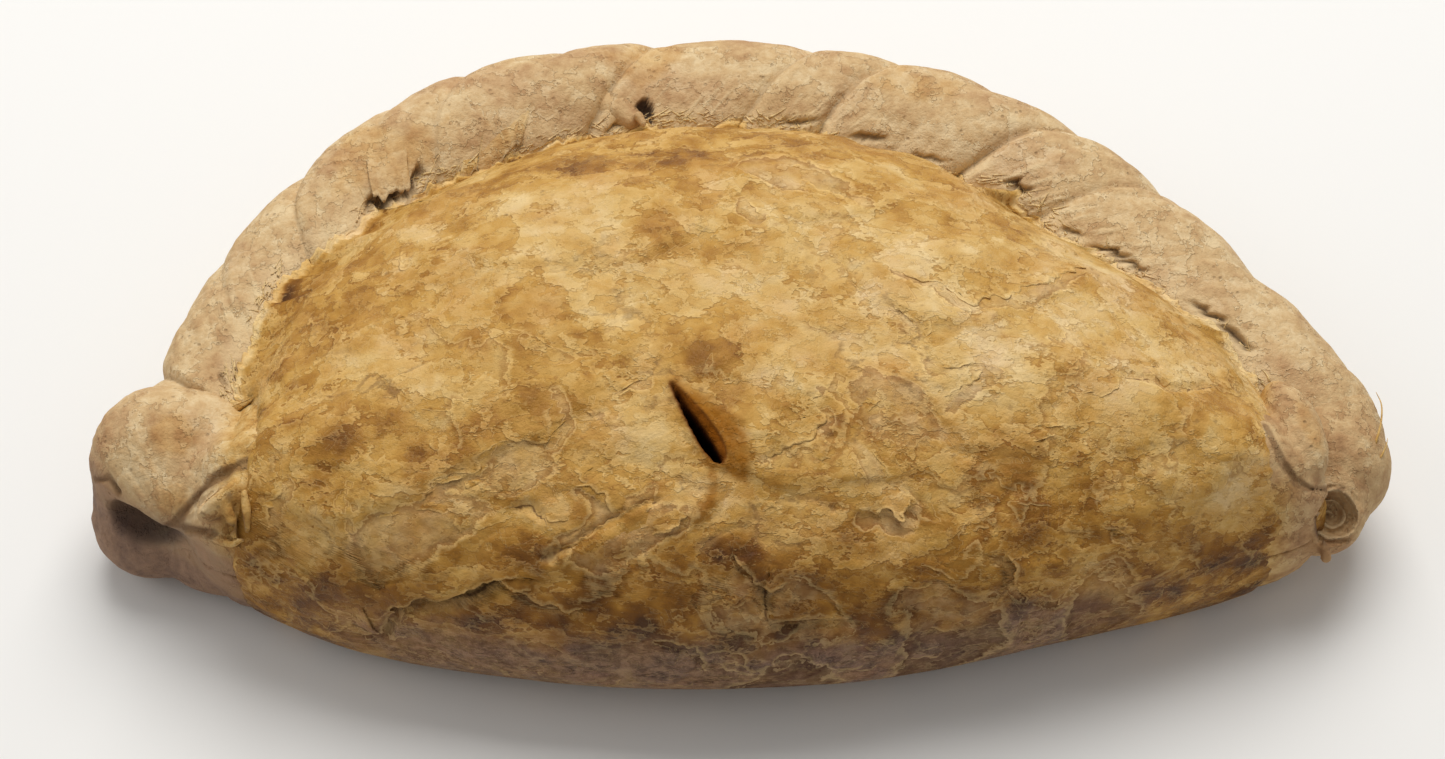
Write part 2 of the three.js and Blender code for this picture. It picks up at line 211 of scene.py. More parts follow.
# Places where the top layer is gone and the pinkish inner one shows: place, half sizes, turn
bare_patches = [
    (-46.2, -38.5, 11, 4.5, 12), (-14, -41, 11, 3.5, 20), (25, -22, 9, 5, -30), (38, -47.5, 14, 3, 0),
    (-31, -32, 7, 3, 10), (12, 23, 10, 5, -20), (59, -42, 7, 3, 15), (8, -48.5, 12, 3, 0),
]

# How much darker (or paler, below 0) the crust baked in places: place, half sizes, change
tones = [
    (-30, 22, 10, 5, -0.10), (8, 24, 9, 4, -0.12), (30, 22, 9, 5, 0.08), (-6, 12, 8, 6, 0.08),
    (-44, 2, 8, 7, 0.07), (-64, -24, 24, 12, 0.08), (-52, 10, 22, 12, 0.02), (-12, 28.5, 26, 4.5, 0.24),
    (23, -22, 10, 6, 0.12), (73, -8, 14, 14, -0.08), (-52, -44, 26, 8, 0.05), (8, -48, 30, 6, 0.26),
    (44, -32, 30, 12, 0.10), (-45, 24, 26, 5, 0.16), (-64, 8, 9, 14, 0.14), (50, 16, 20, 5, 0.05),
    (10, 10, 24, 13, -0.09), (9, -22, 6, 9, -0.12), (-35, -6, 18, 8, -0.06), (-16, -36, 18, 5, -0.08),
    (38, 4, 18, 8, -0.10), (42, -14, 14, 9, -0.16), (58, -42, 8, 4, -0.2), (2, -37, 20, 6, 0.06),
    (-30, 12, 16, 9, -0.06), (-26, -46, 14, 5, 0.12), (12, -44, 14, 5, 0.10), (44, -34, 14, 6, 0.10),
    (70, 2, 8, 12, -0.02), (24, 37, 20, 4, 0.14), (-24, 38, 20, 4, 0.14),
]

# Mark for places that are far from any torn edge, crack or vent; how much further away an edge counts
# that doesn't show; how far from its middle a torn edge or a crack changes the crust; and the height above
# which the vent cuts the crust
far_away = 9.0
unseen_edge_away = 3.5
torn_edge_zone = 40
crack_zone = 25
vent_above = 25


def smooth(value, low, high):
    """Goes smoothly from 0 at low to 1 at high, and the other way round where low is the larger."""
    share = np.clip((value - low) / (high - low), 0, 1)
    return share * share * (3 - 2 * share)


def length_of(vectors):
    return np.sqrt((vectors * vectors).sum(-1))


def unit(vectors):
    return vectors / np.maximum(length_of(vectors), 1e-9)[..., None]


def side_by_side(*values):
    """The values next to each other in a row for each point; any may be one number for all points."""
    return np.stack(np.broadcast_arrays(*values), -1)


def corner_value(i, j, k):
    """A fixed random number from -1 to 1 for each corner of a grid."""
    value = np.sin(i * 127.1 + j * 311.7 + k * 74.7) * 43758.5453
    return 2 * (value - np.floor(value)) - 1


def noise(p):
    """Smooth noise from -1 to 1, with one bump for each unit of distance."""
    cell = np.floor(p)
    part = (p - cell) ** 2 * (3 - 2 * (p - cell))
    i, j, k = np.moveaxis(cell, -1, 0)
    u, v, w = np.moveaxis(part, -1, 0)

    def along(b, c):
        start = corner_value(i, j + b, k + c)
        return start + (corner_value(i + 1, j + b, k + c) - start) * u

    def across(c):
        start = along(0, c)
        return start + (along(1, c) - start) * v

    near = across(0)
    return near + (across(1) - near) * w


octave_turn = np.array([(0.36, 0.48, -0.8), (-0.8, 0.6, 0.0), (0.48, 0.64, 0.6)])


def rough(p, size, octaves=4, fade=0.5, pattern=0):
    """Noise on several scales, each about half as large as the last and turned away from it."""
    q = p / size + pattern * 17.3
    total = 0
    for octave in range(octaves):
        total = total + fade**octave * noise(q)
        q = q @ octave_turn * 2.03 + 5.1
    return total / sum(fade**octave for octave in range(octaves))


def curve_through(points, closed=False, per_span=160):
    """A smooth curve through the points, as a dense row of points."""
    p = np.array(points, float)
    if closed:
        p = np.vstack([p[-1], p, p[:2]])
    else:
        p = np.vstack([2 * p[0] - p[1], p, 2 * p[-1] - p[-2]])
    before, here, after, beyond = p[:-3], p[1:-2], p[2:-1], p[3:]
    leave, arrive = (after - before) / 2, (beyond - here) / 2
    t = (np.arange(per_span) / per_span)[:, None, None]
    bend = -3 * here + 3 * after - 2 * leave - arrive
    twist = 2 * here - 2 * after + leave + arrive
    curve = ((twist * t + bend) * t + leave) * t + here
    curve = curve.transpose(1, 0, 2).reshape(-1, p.shape[1])
    return curve if closed else np.vstack([curve, p[-2]])


rim_curve = curve_through(body_outline, closed=True) - body_centre
rim_angles = np.arctan2(rim_curve[:, 1], rim_curve[:, 0])
rim_order = np.argsort(rim_angles)


def rim_radius(angle):
    radii = length_of(rim_curve)[rim_order]
    return np.interp(angle, rim_angles[rim_order], radii, period=2 * math.pi)


def body_point(angle, tilt):
    """The smooth body: angle round its centre, and tilt from 0 at the top over 90 at the rim to 180."""
    low = tilt > math.pi / 2
    wide = np.abs(np.sin(tilt)) ** (2 / dome_fullness)
    high = np.abs(np.cos(tilt)) ** (2 / dome_fullness)
    radius = rim_radius(angle)
    reach = np.where(low, radius - tray_inset * (1 - wide), radius * wide)
    z = np.where(low, belly_widest * (1 - high), belly_widest + (body_height - belly_widest) * high)
    x = body_centre[0] + reach * np.cos(angle)
    y = body_centre[1] + reach * np.sin(angle)
    return side_by_side(x, y, z)


def body_frame(angle, tilt):
    """A place on the smooth body with its normal and its directions around and downhill."""
    step = 0.01
    steady = np.maximum(tilt, math.radians(2))
    around = unit(body_point(angle + step, steady) - body_point(angle - step, steady))
    downhill = unit(body_point(angle, steady + step) - body_point(angle, steady - step))
    return body_point(angle, tilt), unit(np.cross(downhill, around)), around, downhill


def on_body(x, y):
    """The angle and tilt of the body over a place in plan; places outside the rim go on under the belly."""
    x, y = np.asarray(x, float) - body_centre[0], np.asarray(y, float) - body_centre[1]
    angle = np.arctan2(y, x)
    share = np.hypot(x, y) / rim_radius(angle)
    over = np.arcsin(np.minimum(share, 1) ** (dome_fullness / 2))
    return angle, over + np.clip(share - 1, 0, 1) * math.pi / 2


def step_on_body(angle, tilt, around_by, downhill_by):
    """Moves places on the body by distances in millimetres around it and downhill."""
    step = 0.01
    steady = np.maximum(tilt, math.radians(4))
    per_angle = length_of(body_point(angle + step, steady) - body_point(angle - step, steady)) / (2 * step)
    per_tilt = length_of(body_point(angle, steady + step) - body_point(angle, steady - step)) / (2 * step)
    return angle + around_by / per_angle, np.clip(tilt + downhill_by / per_tilt, 0.01, 3.0)


def path_over_body(plan_points, per_span=10):
    """A line over the smooth body through places in plan."""
    plan = curve_through(plan_points, per_span=per_span)
    return body_point(*on_body(plan[:, 0], plan[:, 1]))


def beside_path(p, normal, path):
    """How far the points lie from a path, and 1 to the left of it or -1 to the right, seen from outside."""
    nearest = np.full(len(p), 1e9)
    side = np.ones(len(p))
    for start, end in zip(path[:-1], path[1:]):
        run = end - start
        share = np.clip((p - start) @ run / (run @ run), 0, 1)
        offset = p - (start + share[:, None] * run)
        distance = length_of(offset)
        closer = distance < nearest
        nearest = np.where(closer, distance, nearest)
        side = np.where(closer, np.sign((np.cross(run, offset) * normal).sum(-1)), side)
    return nearest, side


def in_patch(p, x, y, half_length, half_width, turn=0):
    """1 in the middle of an oval patch, fading out to 0 well outside it."""
    heading = math.radians(turn)
    east, north = p[:, 0] - x, p[:, 1] - y
    along = (east * math.cos(heading) + north * math.sin(heading)) / half_length
    across = (north * math.cos(heading) - east * math.sin(heading)) / half_width
    return np.exp(-0.9 * (along**2 + across**2))


def shaken(p, size, octaves, fade, first_pattern):
    """A direction for each point, from noise."""
    return side_by_side(*(rough(p, size, octaves, fade, first_pattern + n) for n in range(3)))


def flakes_of(p, downhill, size):
    """The flakes of about this size that a crust broke into: the distance to a flake's edge, its own tone
    from -1 to 1, and from -1 at its upper edge to 1 at its lower one.
    """
    q = p / size + 9.7
    home = np.floor(q)
    nearest, second = np.full((2, len(p)), far_away)
    tone, facing = np.zeros((2, len(p)))
    for n in range(27):
        cell = home + (n // 9 - 1, n // 3 % 3 - 1, n % 3 - 1)
        i, j, k = cell.T
        jitter = [corner_value(i, j, k), corner_value(j + 31, k + 7, i), corner_value(k + 13, i + 5, j + 3)]
        offset = q - cell - 0.5 - 0.45 * np.stack(jitter, -1)
        distance = length_of(offset)
        closer = distance < nearest
        second = np.minimum(second, np.maximum(nearest, distance))
        nearest = np.where(closer, distance, nearest)
        tone = np.where(closer, jitter[0] * jitter[1] + 0.6 * jitter[2], tone)
        facing = np.where(closer, (offset * downhill).sum(-1) / (distance + 0.1), facing)
    return (second - nearest) / 2 * size, tone, facing


def torn_layer(p, around, downhill, size, bare, pattern):
    """Distance inside the nearest torn edge of a layer of flakes, and how far that edge faces downhill."""
    step = 0.3
    here = rough(p, size, 5, 0.56, pattern) - bare
    slope = [
        (rough(p + step * way, size, 5, 0.56, pattern) - bare - here) / step for way in (around, downhill)
    ]
    steepness = np.hypot(*slope) + 0.03
    wide_step = 1.5
    broad = rough(p, size, 2, 0.56, pattern)
    broad_slope = [
        (rough(p + wide_step * way, size, 2, 0.56, pattern) - broad) / wide_step for way in (around, downhill)
    ]
    facing = -broad_slope[1] / (np.hypot(*broad_slope) + 1e-3)
    return np.clip(here / steepness, -6, 6), facing


def sheet_over(p, x, y, length, width, turn, number):
    """Distance inside the torn outline of one of the crust sheets, the crust's rise there, and how far
    the edge faces downhill.
    """
    heading = math.radians(turn)
    east, north = p[:, 0] - x, p[:, 1] - y
    along = (east * math.cos(heading) + north * math.sin(heading)) / (length / 2)
    across = (north * math.cos(heading) - east * math.sin(heading)) / (width / 2)
    angle = np.arctan2(across, along)
    drift = 1 + 0.14 * np.sin(2 * angle + number) + 0.1 * np.sin(3 * angle + 2 * number)
    share = np.hypot(along, across) / drift
    half = 0.5 / np.hypot(np.cos(angle) / length, np.sin(angle) / width)
    inside = (1 - share) * half + 1.5 * rough(p, 5, 4, 0.6, 20 + number)
    rise = sheet_edge * np.clip(0.55 - 0.9 * np.minimum(share, 1) * np.sin(angle), -0.4, 1)
    return inside, rise, -np.sin(angle)


def vent_edge(p):
    """How far inside the vent's outline the points lie, in plan, and how far along the vent."""
    heading = math.radians(vent_heading)
    east, north = p[:, 0] - vent_place[0], p[:, 1] - vent_place[1]
    along = east * math.cos(heading) + north * math.sin(heading)
    aside = north * math.cos(heading) - east * math.sin(heading)
    share = np.clip(along / (vent_length / 2), -1, 1)
    half_width = vent_width / 2 * (0.62 + 0.38 * share) * np.sqrt(1 - share**2)
    beyond = np.maximum(np.abs(along) - vent_length / 2, 0)
    return np.where(beyond > 0, -np.hypot(beyond, aside), half_width - np.abs(aside)), along, aside


def crust_surface(angle, tilt, lift=0, unbroken=False):
    """Places on the baked crust, the way out of it, and what the material needs to know about each.
    unbroken leaves out the steps at the torn edges, for a sheet that lies on top.
    """
    p, normal, around, downhill = body_frame(angle, tilt)
    wander = shaken(p, 3.2, 3, 0.6, 40)
    q = p + 0.9 * wander
    above_tray = smooth(p[:, 2], 3, 16)

    # Lumps, dents and blisters
    soft_blister = rough(p, 3.4, 2, 0.5, 7)
    height = lump_height * noise(p / lump_size) + blister_height * noise(p / blister_size)
    height = height + 0.22 * soft_blister * smooth(soft_blister, -0.3, 0.5)
    height = height + 0.45 * rough(p, 10, 3, 0.55, 8) + 0.10 * rough(p, 1.5, 2, 0.6, 9)
    for ridge in soft_ridges:
        distance = beside_path(p, normal, path_over_body(ridge))[0]
        height = height + 0.45 * np.exp(-((distance / 1.1) ** 2))

    # The top layer broke into flakes that overlap like shingles. They are bold low on the lid and to the
    # right, and less so near the crimp.
    bold = 0.3 + 0.7 * smooth(p[:, 1], 20, -20)
    bent = (p + 3.6 * shaken(p, 9, 3, 0.55, 45) + 0.9 * wander) * (0.8, 1, 1.1)
    border, flake_tone, flake_face = flakes_of(bent, downhill, 9.5)
    shingled = (0.16 * flake_face + 0.08 * flake_tone) * smooth(border, 0, 0.8) * smooth(border, 4.2, 0.8)
    height = height + (0.12 * (1 - np.exp(-border / 2.6)) + shingled) * (0.25 + 0.75 * bold)

    tear = np.full(len(p), far_away)
    tear_rank = np.full(len(p), 99.0)

    def add_edge(distance, shown):
        """Keeps the nearest torn edge; one that shows less counts as further away."""
        nonlocal tear, tear_rank
        hidden_by = (1 - shown) * unseen_edge_away
        rank = np.abs(distance) + hidden_by
        tear = np.where(rank < tear_rank, distance + np.sign(distance) * hidden_by, tear)
        tear_rank = np.minimum(rank, tear_rank)

    for size, thickness, bare, pattern in flake_layers:
        inside, facing = torn_layer(q, around, downhill, size, bare, pattern)
        patchy = smooth(rough(p, 30, 2, 0.5, 50 + pattern), -0.35, 0.15)
        shown = smooth(facing, -0.4, 0.5) * bold * patchy
        step_up = smooth(inside, -0.3, 0.5)
        run_out = np.exp(-np.maximum(inside, 0) / (0.5 * size))
        height = height + thickness * shown * (step_up * run_out - 0.35)
        if size > smallest_layer_with_rims:
            add_edge(inside, shown)

    for number, sheet in enumerate(crust_sheets):
        inside, rise, facing = sheet_over(p, *sheet, number)
        shown = smooth(facing, -0.35, 0.35)
        height = height + 0.7 * rise * smooth(inside, -0.8, 1.8) * above_tray
        add_edge(inside, 0.55 * shown)

    # Below each torn edge the top layer is gone for a few millimetres, less far where it is low at the front
    bareness = np.zeros(len(p))
    for path, _, stands in [] if unbroken else torn_edges:
        middle = np.mean(path, 0)
        line = path_over_body(path)
        near = length_of(p[:, :2] - middle) < torn_edge_zone
        distance, side = beside_path(q[near], normal[near], line)
        outside = -distance * side
        from_ends = np.minimum(length_of(q[near] - line[0]), length_of(q[near] - line[-1]))
        step_down = smooth(outside, -0.6, 0.3) * np.exp(-np.maximum(outside, 0) / 5) * smooth(from_ends, 0, 4)
        height[near] -= (0.08 + 0.25 * smooth(middle[1], -30, -42)) * stands * step_down
        shown = step_down * smooth(outside, 6 - 3.6 * smooth(middle[1], -38, -46), 0.5)
        shown = shown * (0.95 + 0.8 * rough(p[near], 7, 3, 0.6, 35))
        bareness[near] = np.maximum(bareness[near], shown)
    for patch in bare_patches:
        bareness = np.maximum(bareness, in_patch(q, *patch))
    bare_inside = (0.5 + 0.45 * rough(p, 5, 4, 0.6, 31) - bareness) * 5
    add_edge(bare_inside, smooth(bareness, 0.2, 0.45))
    bare_here = smooth(bare_inside, 0.25, -0.25)
    sunk = (0.08 + 0.27 * smooth(p[:, 1], -30, -42)) * above_tray
    height = height + bare_here * (0.2 * rough(p, 1.6, 3, 0.6, 32) - sunk)

    # Cracks, and a web of finer ones along the flakes' borders
    crack = np.full(len(p), far_away)
    crack_shown = np.zeros(len(p))
    ragged = p + 0.7 * shaken(p, 1.8, 3, 0.65, 60)
    for path, depth, half_width in cracks:
        near = length_of(p[:, :2] - np.mean(path, 0)) < crack_zone
        distance, side = beside_path(ragged[near], normal[near], path_over_body(path))
        height[near] -= depth * smooth(distance, half_width * 2.2, half_width * 0.2)
        closer = distance < np.abs(crack[near])
        crack[near] = np.where(closer, distance * side / (half_width / 0.5), crack[near])
        crack_shown[near] = np.where(closer, 1, crack_shown[near])
    web_shown = smooth(rough(p, 11, 3, 0.6, 72), 0.12, 0.36) * (0.25 + 0.75 * bold) * 0.6
    height = height - 0.2 * web_shown * smooth(border, 0.7, 0.1)
    use_web = (border < np.abs(crack)) & (web_shown > 0.05)
    crack = np.where(use_web, border, crack)
    crack_shown = np.where(use_web, web_shown, crack_shown)

    # The crust runs in under the crimp's two ends
    tucked_in = 3.0 * smooth(in_patch(q, -81.5, -23, 9.5, 16, -4), 0.3, 0.62)
    tucked_in = tucked_in + 1.2 * smooth(in_patch(q, 94, -25, 9, 11, 10), 0.2, 0.6)
    height = height * above_tray + lift - tucked_in
    placed = p + normal * height[:, None]

    # The vent: a crisp cut on the left, and on the right a ledge before it drops
    inside_vent, along_vent, aside_vent = vent_edge(p)
    on_top = p[:, 2] > vent_above
    mouth = inside_vent + 0.35 * rough(p, 1.6, 3, 0.6, 81)
    ledge = 1.0 * smooth(aside_vent, -0.6, 0.5) * smooth(along_vent, -7, -3)
    depth = 0.9 * smooth(mouth, -0.1, ledge + 0.1) + vent_depth * smooth(mouth, ledge, ledge + 0.8)
    lip = 0.45 * smooth(mouth, -1.6, -0.3) * smooth(mouth, 0.2, -0.2)
    placed = placed + normal * ((lip - depth) * on_top)[:, None]

    # Juice stained the crust beside the vent, most on its right, and dripped from its lower end
    right_of_vent = 0.15 + 0.95 * smooth(aside_vent, -1.2, 1.6) * (0.35 + 0.65 * smooth(along_vent, -7, 4))
    right_of_vent = right_of_vent + 0.3 * smooth(along_vent, 0, 6)
    drip_away = beside_path(q, normal, path_over_body(vent_drip))[0]
    stain = smooth(inside_vent + 3.2 * right_of_vent + 0.9 * rough(p, 2.5, 3, 0.6, 82), -1.0, 1.6)
    stain = np.maximum(stain, 0.75 * smooth(drip_away + 0.5 * rough(p, 1.5, 3, 0.6, 83), 1.3, 0.2)) * on_top

    # How dark it baked, with painted shade where it faces the front low down, and where painted shade makes
    # it a greyer brown low at the front
    bake = 0.41 + 0.12 * rough(p, 20, 3, 0.5, 91) + 0.05 * noise(p / lump_size)
    for x, y, half_length, half_width, change in tones:
        bake = bake + change * in_patch(p, x, y, half_length, half_width) * (p[:, 2] > 14)
    # Painted shade: darker where the surface turns to face the front, from halfway up down to the belly
    bake = bake + 0.34 * smooth(-normal[:, 1], 0.1, 0.8) * smooth(p[:, 2], 36, 18)
    bake = bake + 0.1 * smooth(p[:, 2], 12, 2)
    bake = bake + (0.09 * smooth(border, 0.2, 3.2) - 0.07) + 0.05 * flake_tone * smooth(border, 0, 1.0)
    # Painted shade low at the front, with a ragged upper edge, for the material to turn a greyer brown
    painted_low_shade = smooth(p[:, 2] + 3.5 * rough(p, 9, 3, 0.55, 92), 27, 17) * smooth(np.abs(p[:, 0] - 2), 75, 45)
    marks = {
        "tear": tear,
        "crack": crack,
        "crack_shown": crack_shown,
        "bake": bake,
        "bare": bare_here,
        "vent": np.where(on_top, inside_vent, -far_away),
        "vent_side": aside_vent,
        "stain": stain,
        "painted_low_shade": painted_low_shade,
    }
    return placed, normal, marks


def ring_seam(first, count_first, second, count_second):
    """The triangles between two rings of points that run the same way, given where each ring begins."""
    a, b = np.arange(count_first), np.arange(count_second)
    after_a, after_b = (a + 1) / count_first, (b + 1) / count_second
    b_now = np.searchsorted(after_b, after_a - 1e-9)
    a_now = np.searchsorted(after_a, after_b + 1e-9)
    on_first = side_by_side(first + a, second + b_now % count_second, first + (a + 1) % count_first)
    on_second = side_by_side(first + a_now % count_first, second + b, second + (b + 1) % count_second)
    return np.vstack([on_first, on_second])


def rings_to_triangles(counts):
    """The triangles of a closed shape: a first point, rings of points with these counts, a last point."""
    starts = 1 + np.concatenate([[0], np.cumsum(counts)])
    ring = np.arange(counts[0])
    faces = [side_by_side(0, 1 + ring, 1 + (ring + 1) % counts[0])]
    for n in range(len(counts) - 1):
        faces.append(ring_seam(starts[n], counts[n], starts[n + 1], counts[n + 1]))
    ring = np.arange(counts[-1])
    faces.append(side_by_side(starts[-1], starts[-2] + (ring + 1) % counts[-1], starts[-2] + ring))
    return np.vstack(faces)


def add_piece(name, points, triangles, marks, material):
    """A smooth-shaded mesh in the shared frame, in metres, with the marks as point attributes."""
    mesh = bpy.data.meshes.new(name)
    metres = (points - middle_of_plan) / 1000
    mesh.vertices.add(len(metres))
    mesh.vertices.foreach_set("co", metres.astype(np.float32).ravel())
    mesh.loops.add(len(triangles) * 3)
    mesh.loops.foreach_set("vertex_index", triangles.astype(np.int32).ravel())
    mesh.polygons.add(len(triangles))
    mesh.polygons.foreach_set("loop_start", np.arange(0, len(triangles) * 3, 3, dtype=np.int32))
    mesh.update(calc_edges=True)
    mesh.shade_smooth()
    for mark, values in marks.items():
        attribute = mesh.attributes.new(mark, "FLOAT", "POINT")
        attribute.data.foreach_set("value", np.asarray(values, np.float32))
    mesh.materials.append(material)
    piece = bpy.data.objects.new(name, mesh)
    bpy.context.collection.objects.link(piece)
    return piece


def body_grid():
    """Angles and tilts of the crust's points, ring by ring, and the count of each ring. They lie further
    apart where the crimp hides the crust and underneath.
    """
    rim_run = np.sum(length_of(np.diff(rim_curve, axis=0)))
    fine = np.linspace(0, 2 * math.pi, 1441)
    angles, tilts, counts = [], [], []
    for row in range(1, lid_rows + belly_rows + 1):
        under = row > lid_rows
        tilt = math.pi / 2 * (1 + (row - lid_rows) / belly_rows if under else row / lid_rows)
        size = math.sin(min(tilt, math.pi / 2)) ** (2 / dome_fullness)
        hidden = 0.62 * smooth(np.sin(fine), 0.0, 0.35) * smooth(tilt, math.radians(58), math.radians(78))
        below = 1 - 0.5 * smooth(tilt, math.radians(120), math.radians(170))
        density = (1 - hidden) * below * rim_radius(fine)
        run = np.concatenate([[0], np.cumsum((density[1:] + density[:-1]) / 2)])
        share = run[-1] / np.sum(rim_radius(fine)[1:])
        count = max(8, round(size * rim_run * share / rim_edge))
        angles.append(np.interp(np.arange(count) / count * run[-1], run, fine))
        tilts.append(np.full(count, tilt))
        counts.append(count)
    return angles, tilts, counts


def draw_to_vent(angle, tilt):
    """Moves the lid's points towards the vent, where they are needed more."""
    p = body_point(angle, tilt)
    offset = p[:, :2] - vent_place
    distance = length_of(offset)
    closer = np.interp(distance, (0, 5, 9, 34), (0, 2.4, 5.4, 34))
    near = (distance < 34) & (distance > 1e-6) & (tilt < math.radians(75))
    moved = vent_place + offset * (closer / np.maximum(distance, 1e-6))[:, None]
    new_angle, new_tilt = on_body(moved[:, 0], moved[:, 1])
    return np.where(near, new_angle, angle), np.where(near, new_tilt, tilt)


grid_angles, grid_tilts, grid_counts = body_grid()
lid_angle, lid_tilt = draw_to_vent(np.concatenate([[0], *grid_angles]), np.concatenate([[0], *grid_tilts]))
crust_points, _, crust_marks = crust_surface(lid_angle, lid_tilt)

# The flat underside, in rings that shrink from the foot to the middle
foot_count = grid_counts[-1]
foot = crust_points[-foot_count:]
foot[:, 2] = 0
foot_closed = np.vstack([foot, foot[:1]])
base_rings, base_counts = [], []
for row in range(1, base_rows):
    count = max(12, round(foot_count * (1 - row / base_rows)))
    places = np.arange(count) / count * foot_count
    ring = side_by_side(*(np.interp(places, np.arange(foot_count + 1), foot_closed[:, n]) for n in range(3)))
    ring[:, :2] = body_centre + (ring[:, :2] - body_centre) * (1 - row / base_rows)
    base_rings.append(ring)
    base_counts.append(count)
base_points = np.vstack([*base_rings, [(*body_centre, 0)]])
crust_points = np.vstack([crust_points, base_points])
base_marks = {"tear": far_away, "crack": far_away, "bake": 0.62, "vent": -far_away}
for mark in crust_marks:
    own_mark = np.full(len(base_points), base_marks.get(mark, 0.0))
    crust_marks[mark] = np.append(crust_marks[mark], own_mark)
crust_triangles = rings_to_triangles(grid_counts + base_counts)


def set_socket(tree, socket, value):
    """Gives a node's input a number, a colour or what another node's socket puts out."""
    if isinstance(value, bpy.types.NodeSocket):
        tree.links.new(value, socket)
    else:
        socket.default_value = value


def add_node(tree, kind, values=None, **settings):
    """A shader node with its settings, and with values for its inputs by name."""
    node = tree.nodes.new(kind)
    for name, value in settings.items():
        setattr(node, name, value)
    for name, value in (values or {}).items():
        set_socket(tree, node.inputs[name], value)
    return node


def calc(tree, operation, a, b=0.0, c=0.0, limit=False):
    """The result of a maths node."""
    node = add_node(tree, "ShaderNodeMath", operation=operation, use_clamp=limit)
    for socket, value in zip(node.inputs, (a, b, c)):
        set_socket(tree, socket, value)
    return node.outputs[0]


def product(tree, value, *others):
    for other in others:
        value = calc(tree, "MULTIPLY", value, other)
    return value


def varied(tree, value, pattern, amount, middle=0.5):
    """The value with the pattern's swings from its middle added to it, times the amount."""
    return calc(tree, "MULTIPLY_ADD", calc(tree, "SUBTRACT", pattern, middle), amount, value)


def ease(tree, value, low, high):
    """Goes smoothly from 0 where the value is low to 1 where it is high."""
    values = {"Value": value, "From Min": low, "From Max": high}
    return add_node(tree, "ShaderNodeMapRange", values, interpolation_type="SMOOTHSTEP").outputs["Result"]


def mix(tree, share, first, second, way="MIX"):
    """The first colour at share 0 and the second at share 1."""
    node = add_node(tree, "ShaderNodeMix", data_type="RGBA", blend_type=way)
    for socket, value in zip((node.inputs[0], node.inputs[6], node.inputs[7]), (share, first, second)):
        set_socket(tree, socket, value)
    return node.outputs[2]


def tinted(tree, colour, share, strength, tint):
    """The colour, covered by the tint as far as the share and the strength say."""
    return mix(tree, product(tree, share, strength), colour, tint)


def multiplied(tree, colour, tint):
    return mix(tree, 1.0, colour, tint, "MULTIPLY")


def mark_value(tree, name):
    return add_node(tree, "ShaderNodeAttribute", attribute_name=name).outputs["Fac"]


def grain(tree, place, scale, detail, roughness):
    """Noise from 0 to 1; scale is the number of its bumps to the metre."""
    values = {"Vector": place, "Scale": scale, "Detail": detail, "Roughness": roughness}
    return add_node(tree, "ShaderNodeTexNoise", values).outputs["Fac"]


def round_pores(tree, place, scale, border, middle):
    """1 in the middle of small round pores and 0 beyond their border."""
    cells = add_node(tree, "ShaderNodeTexVoronoi", {"Vector": place, "Scale": scale})
    return ease(tree, cells.outputs["Distance"], border, middle)


def stretched(tree, place, scale):
    values = {"Vector": place, "Scale": scale}
    return add_node(tree, "ShaderNodeMapping", values, vector_type="POINT").outputs["Vector"]


def colour_ramp(tree, share, stops):
    """The colour at a share from 0 to 1 of a row of colours, each given with its place in the row."""
    node = add_node(tree, "ShaderNodeValToRGB", {"Fac": share})
    while len(node.color_ramp.elements) < len(stops):
        node.color_ramp.elements.new(0.5)
    for element, (place, colour) in zip(node.color_ramp.elements, stops):
        element.position = place
        element.color = (*colour, 1)
    return node.outputs["Color"]


def new_group(name, inputs, outputs):
    """An empty node group with its sockets, and its two end nodes."""
    group = bpy.data.node_groups.new(name, "ShaderNodeTree")
    for socket, kind in inputs:
        group.interface.new_socket(socket, in_out="INPUT", socket_type=kind)
    for socket, kind in outputs:
        group.interface.new_socket(socket, in_out="OUTPUT", socket_type=kind)
    return group, group.nodes.new("NodeGroupInput").outputs, group.nodes.new("NodeGroupOutput").inputs


def group_outputs(tree, group, values):
    return add_node(tree, "ShaderNodeGroup", values, node_tree=group).outputs


# The colour of glazed pastry by how far it baked, from pale straw over gold and amber to dark brown
baked_colours = [
    (0.00, (0.72, 0.530, 0.260)),
    (0.22, (0.63, 0.405, 0.138)),
    (0.40, (0.53, 0.293, 0.066)),
    (0.56, (0.38, 0.180, 0.028)),
    (0.72, (0.235, 0.097, 0.013)),
    (0.88, (0.145, 0.055, 0.009)),
    (1.00, (0.08, 0.032, 0.009)),
]
baked_group, group_in, group_out = new_group(
    "baked_colour", [("Bake", "NodeSocketFloat")], [("Color", "NodeSocketColor")]
)
baked_group.links.new(colour_ramp(baked_group, group_in["Bake"], baked_colours), group_out["Color"])

# A torn edge of pastry: a ragged pale rim on the sheet's side of the edge and a shadowed gap below it
torn_group, group_in, group_out = new_group(
    "torn_edge",
    [("Place", "NodeSocketVector"), ("Distance", "NodeSocketFloat"), ("Width", "NodeSocketFloat")],
    [("Rim", "NodeSocketFloat"), ("Below", "NodeSocketFloat"), ("Height", "NodeSocketFloat")],
)
ragged = grain(torn_group, group_in["Place"], 800, 4, 0.7)
ragged_edge = varied(torn_group, group_in["Distance"], ragged, 1.7)
rim_inner = ease(torn_group, calc(torn_group, "DIVIDE", ragged_edge, group_in["Width"]), 1.0, 0.25)
rim_outer = ease(torn_group, ragged_edge, -0.12, 0.05)
below_start = ease(torn_group, ragged_edge, 0.05, -0.1)
below_end = ease(torn_group, ragged_edge, -1.1, -0.1)
torn_group.links.new(product(torn_group, rim_inner, rim_outer), group_out["Rim"])
torn_group.links.new(product(torn_group, below_start, below_end), group_out["Below"])
torn_group.links.new(ease(torn_group, ragged_edge, -0.25, 0.25), group_out["Height"])
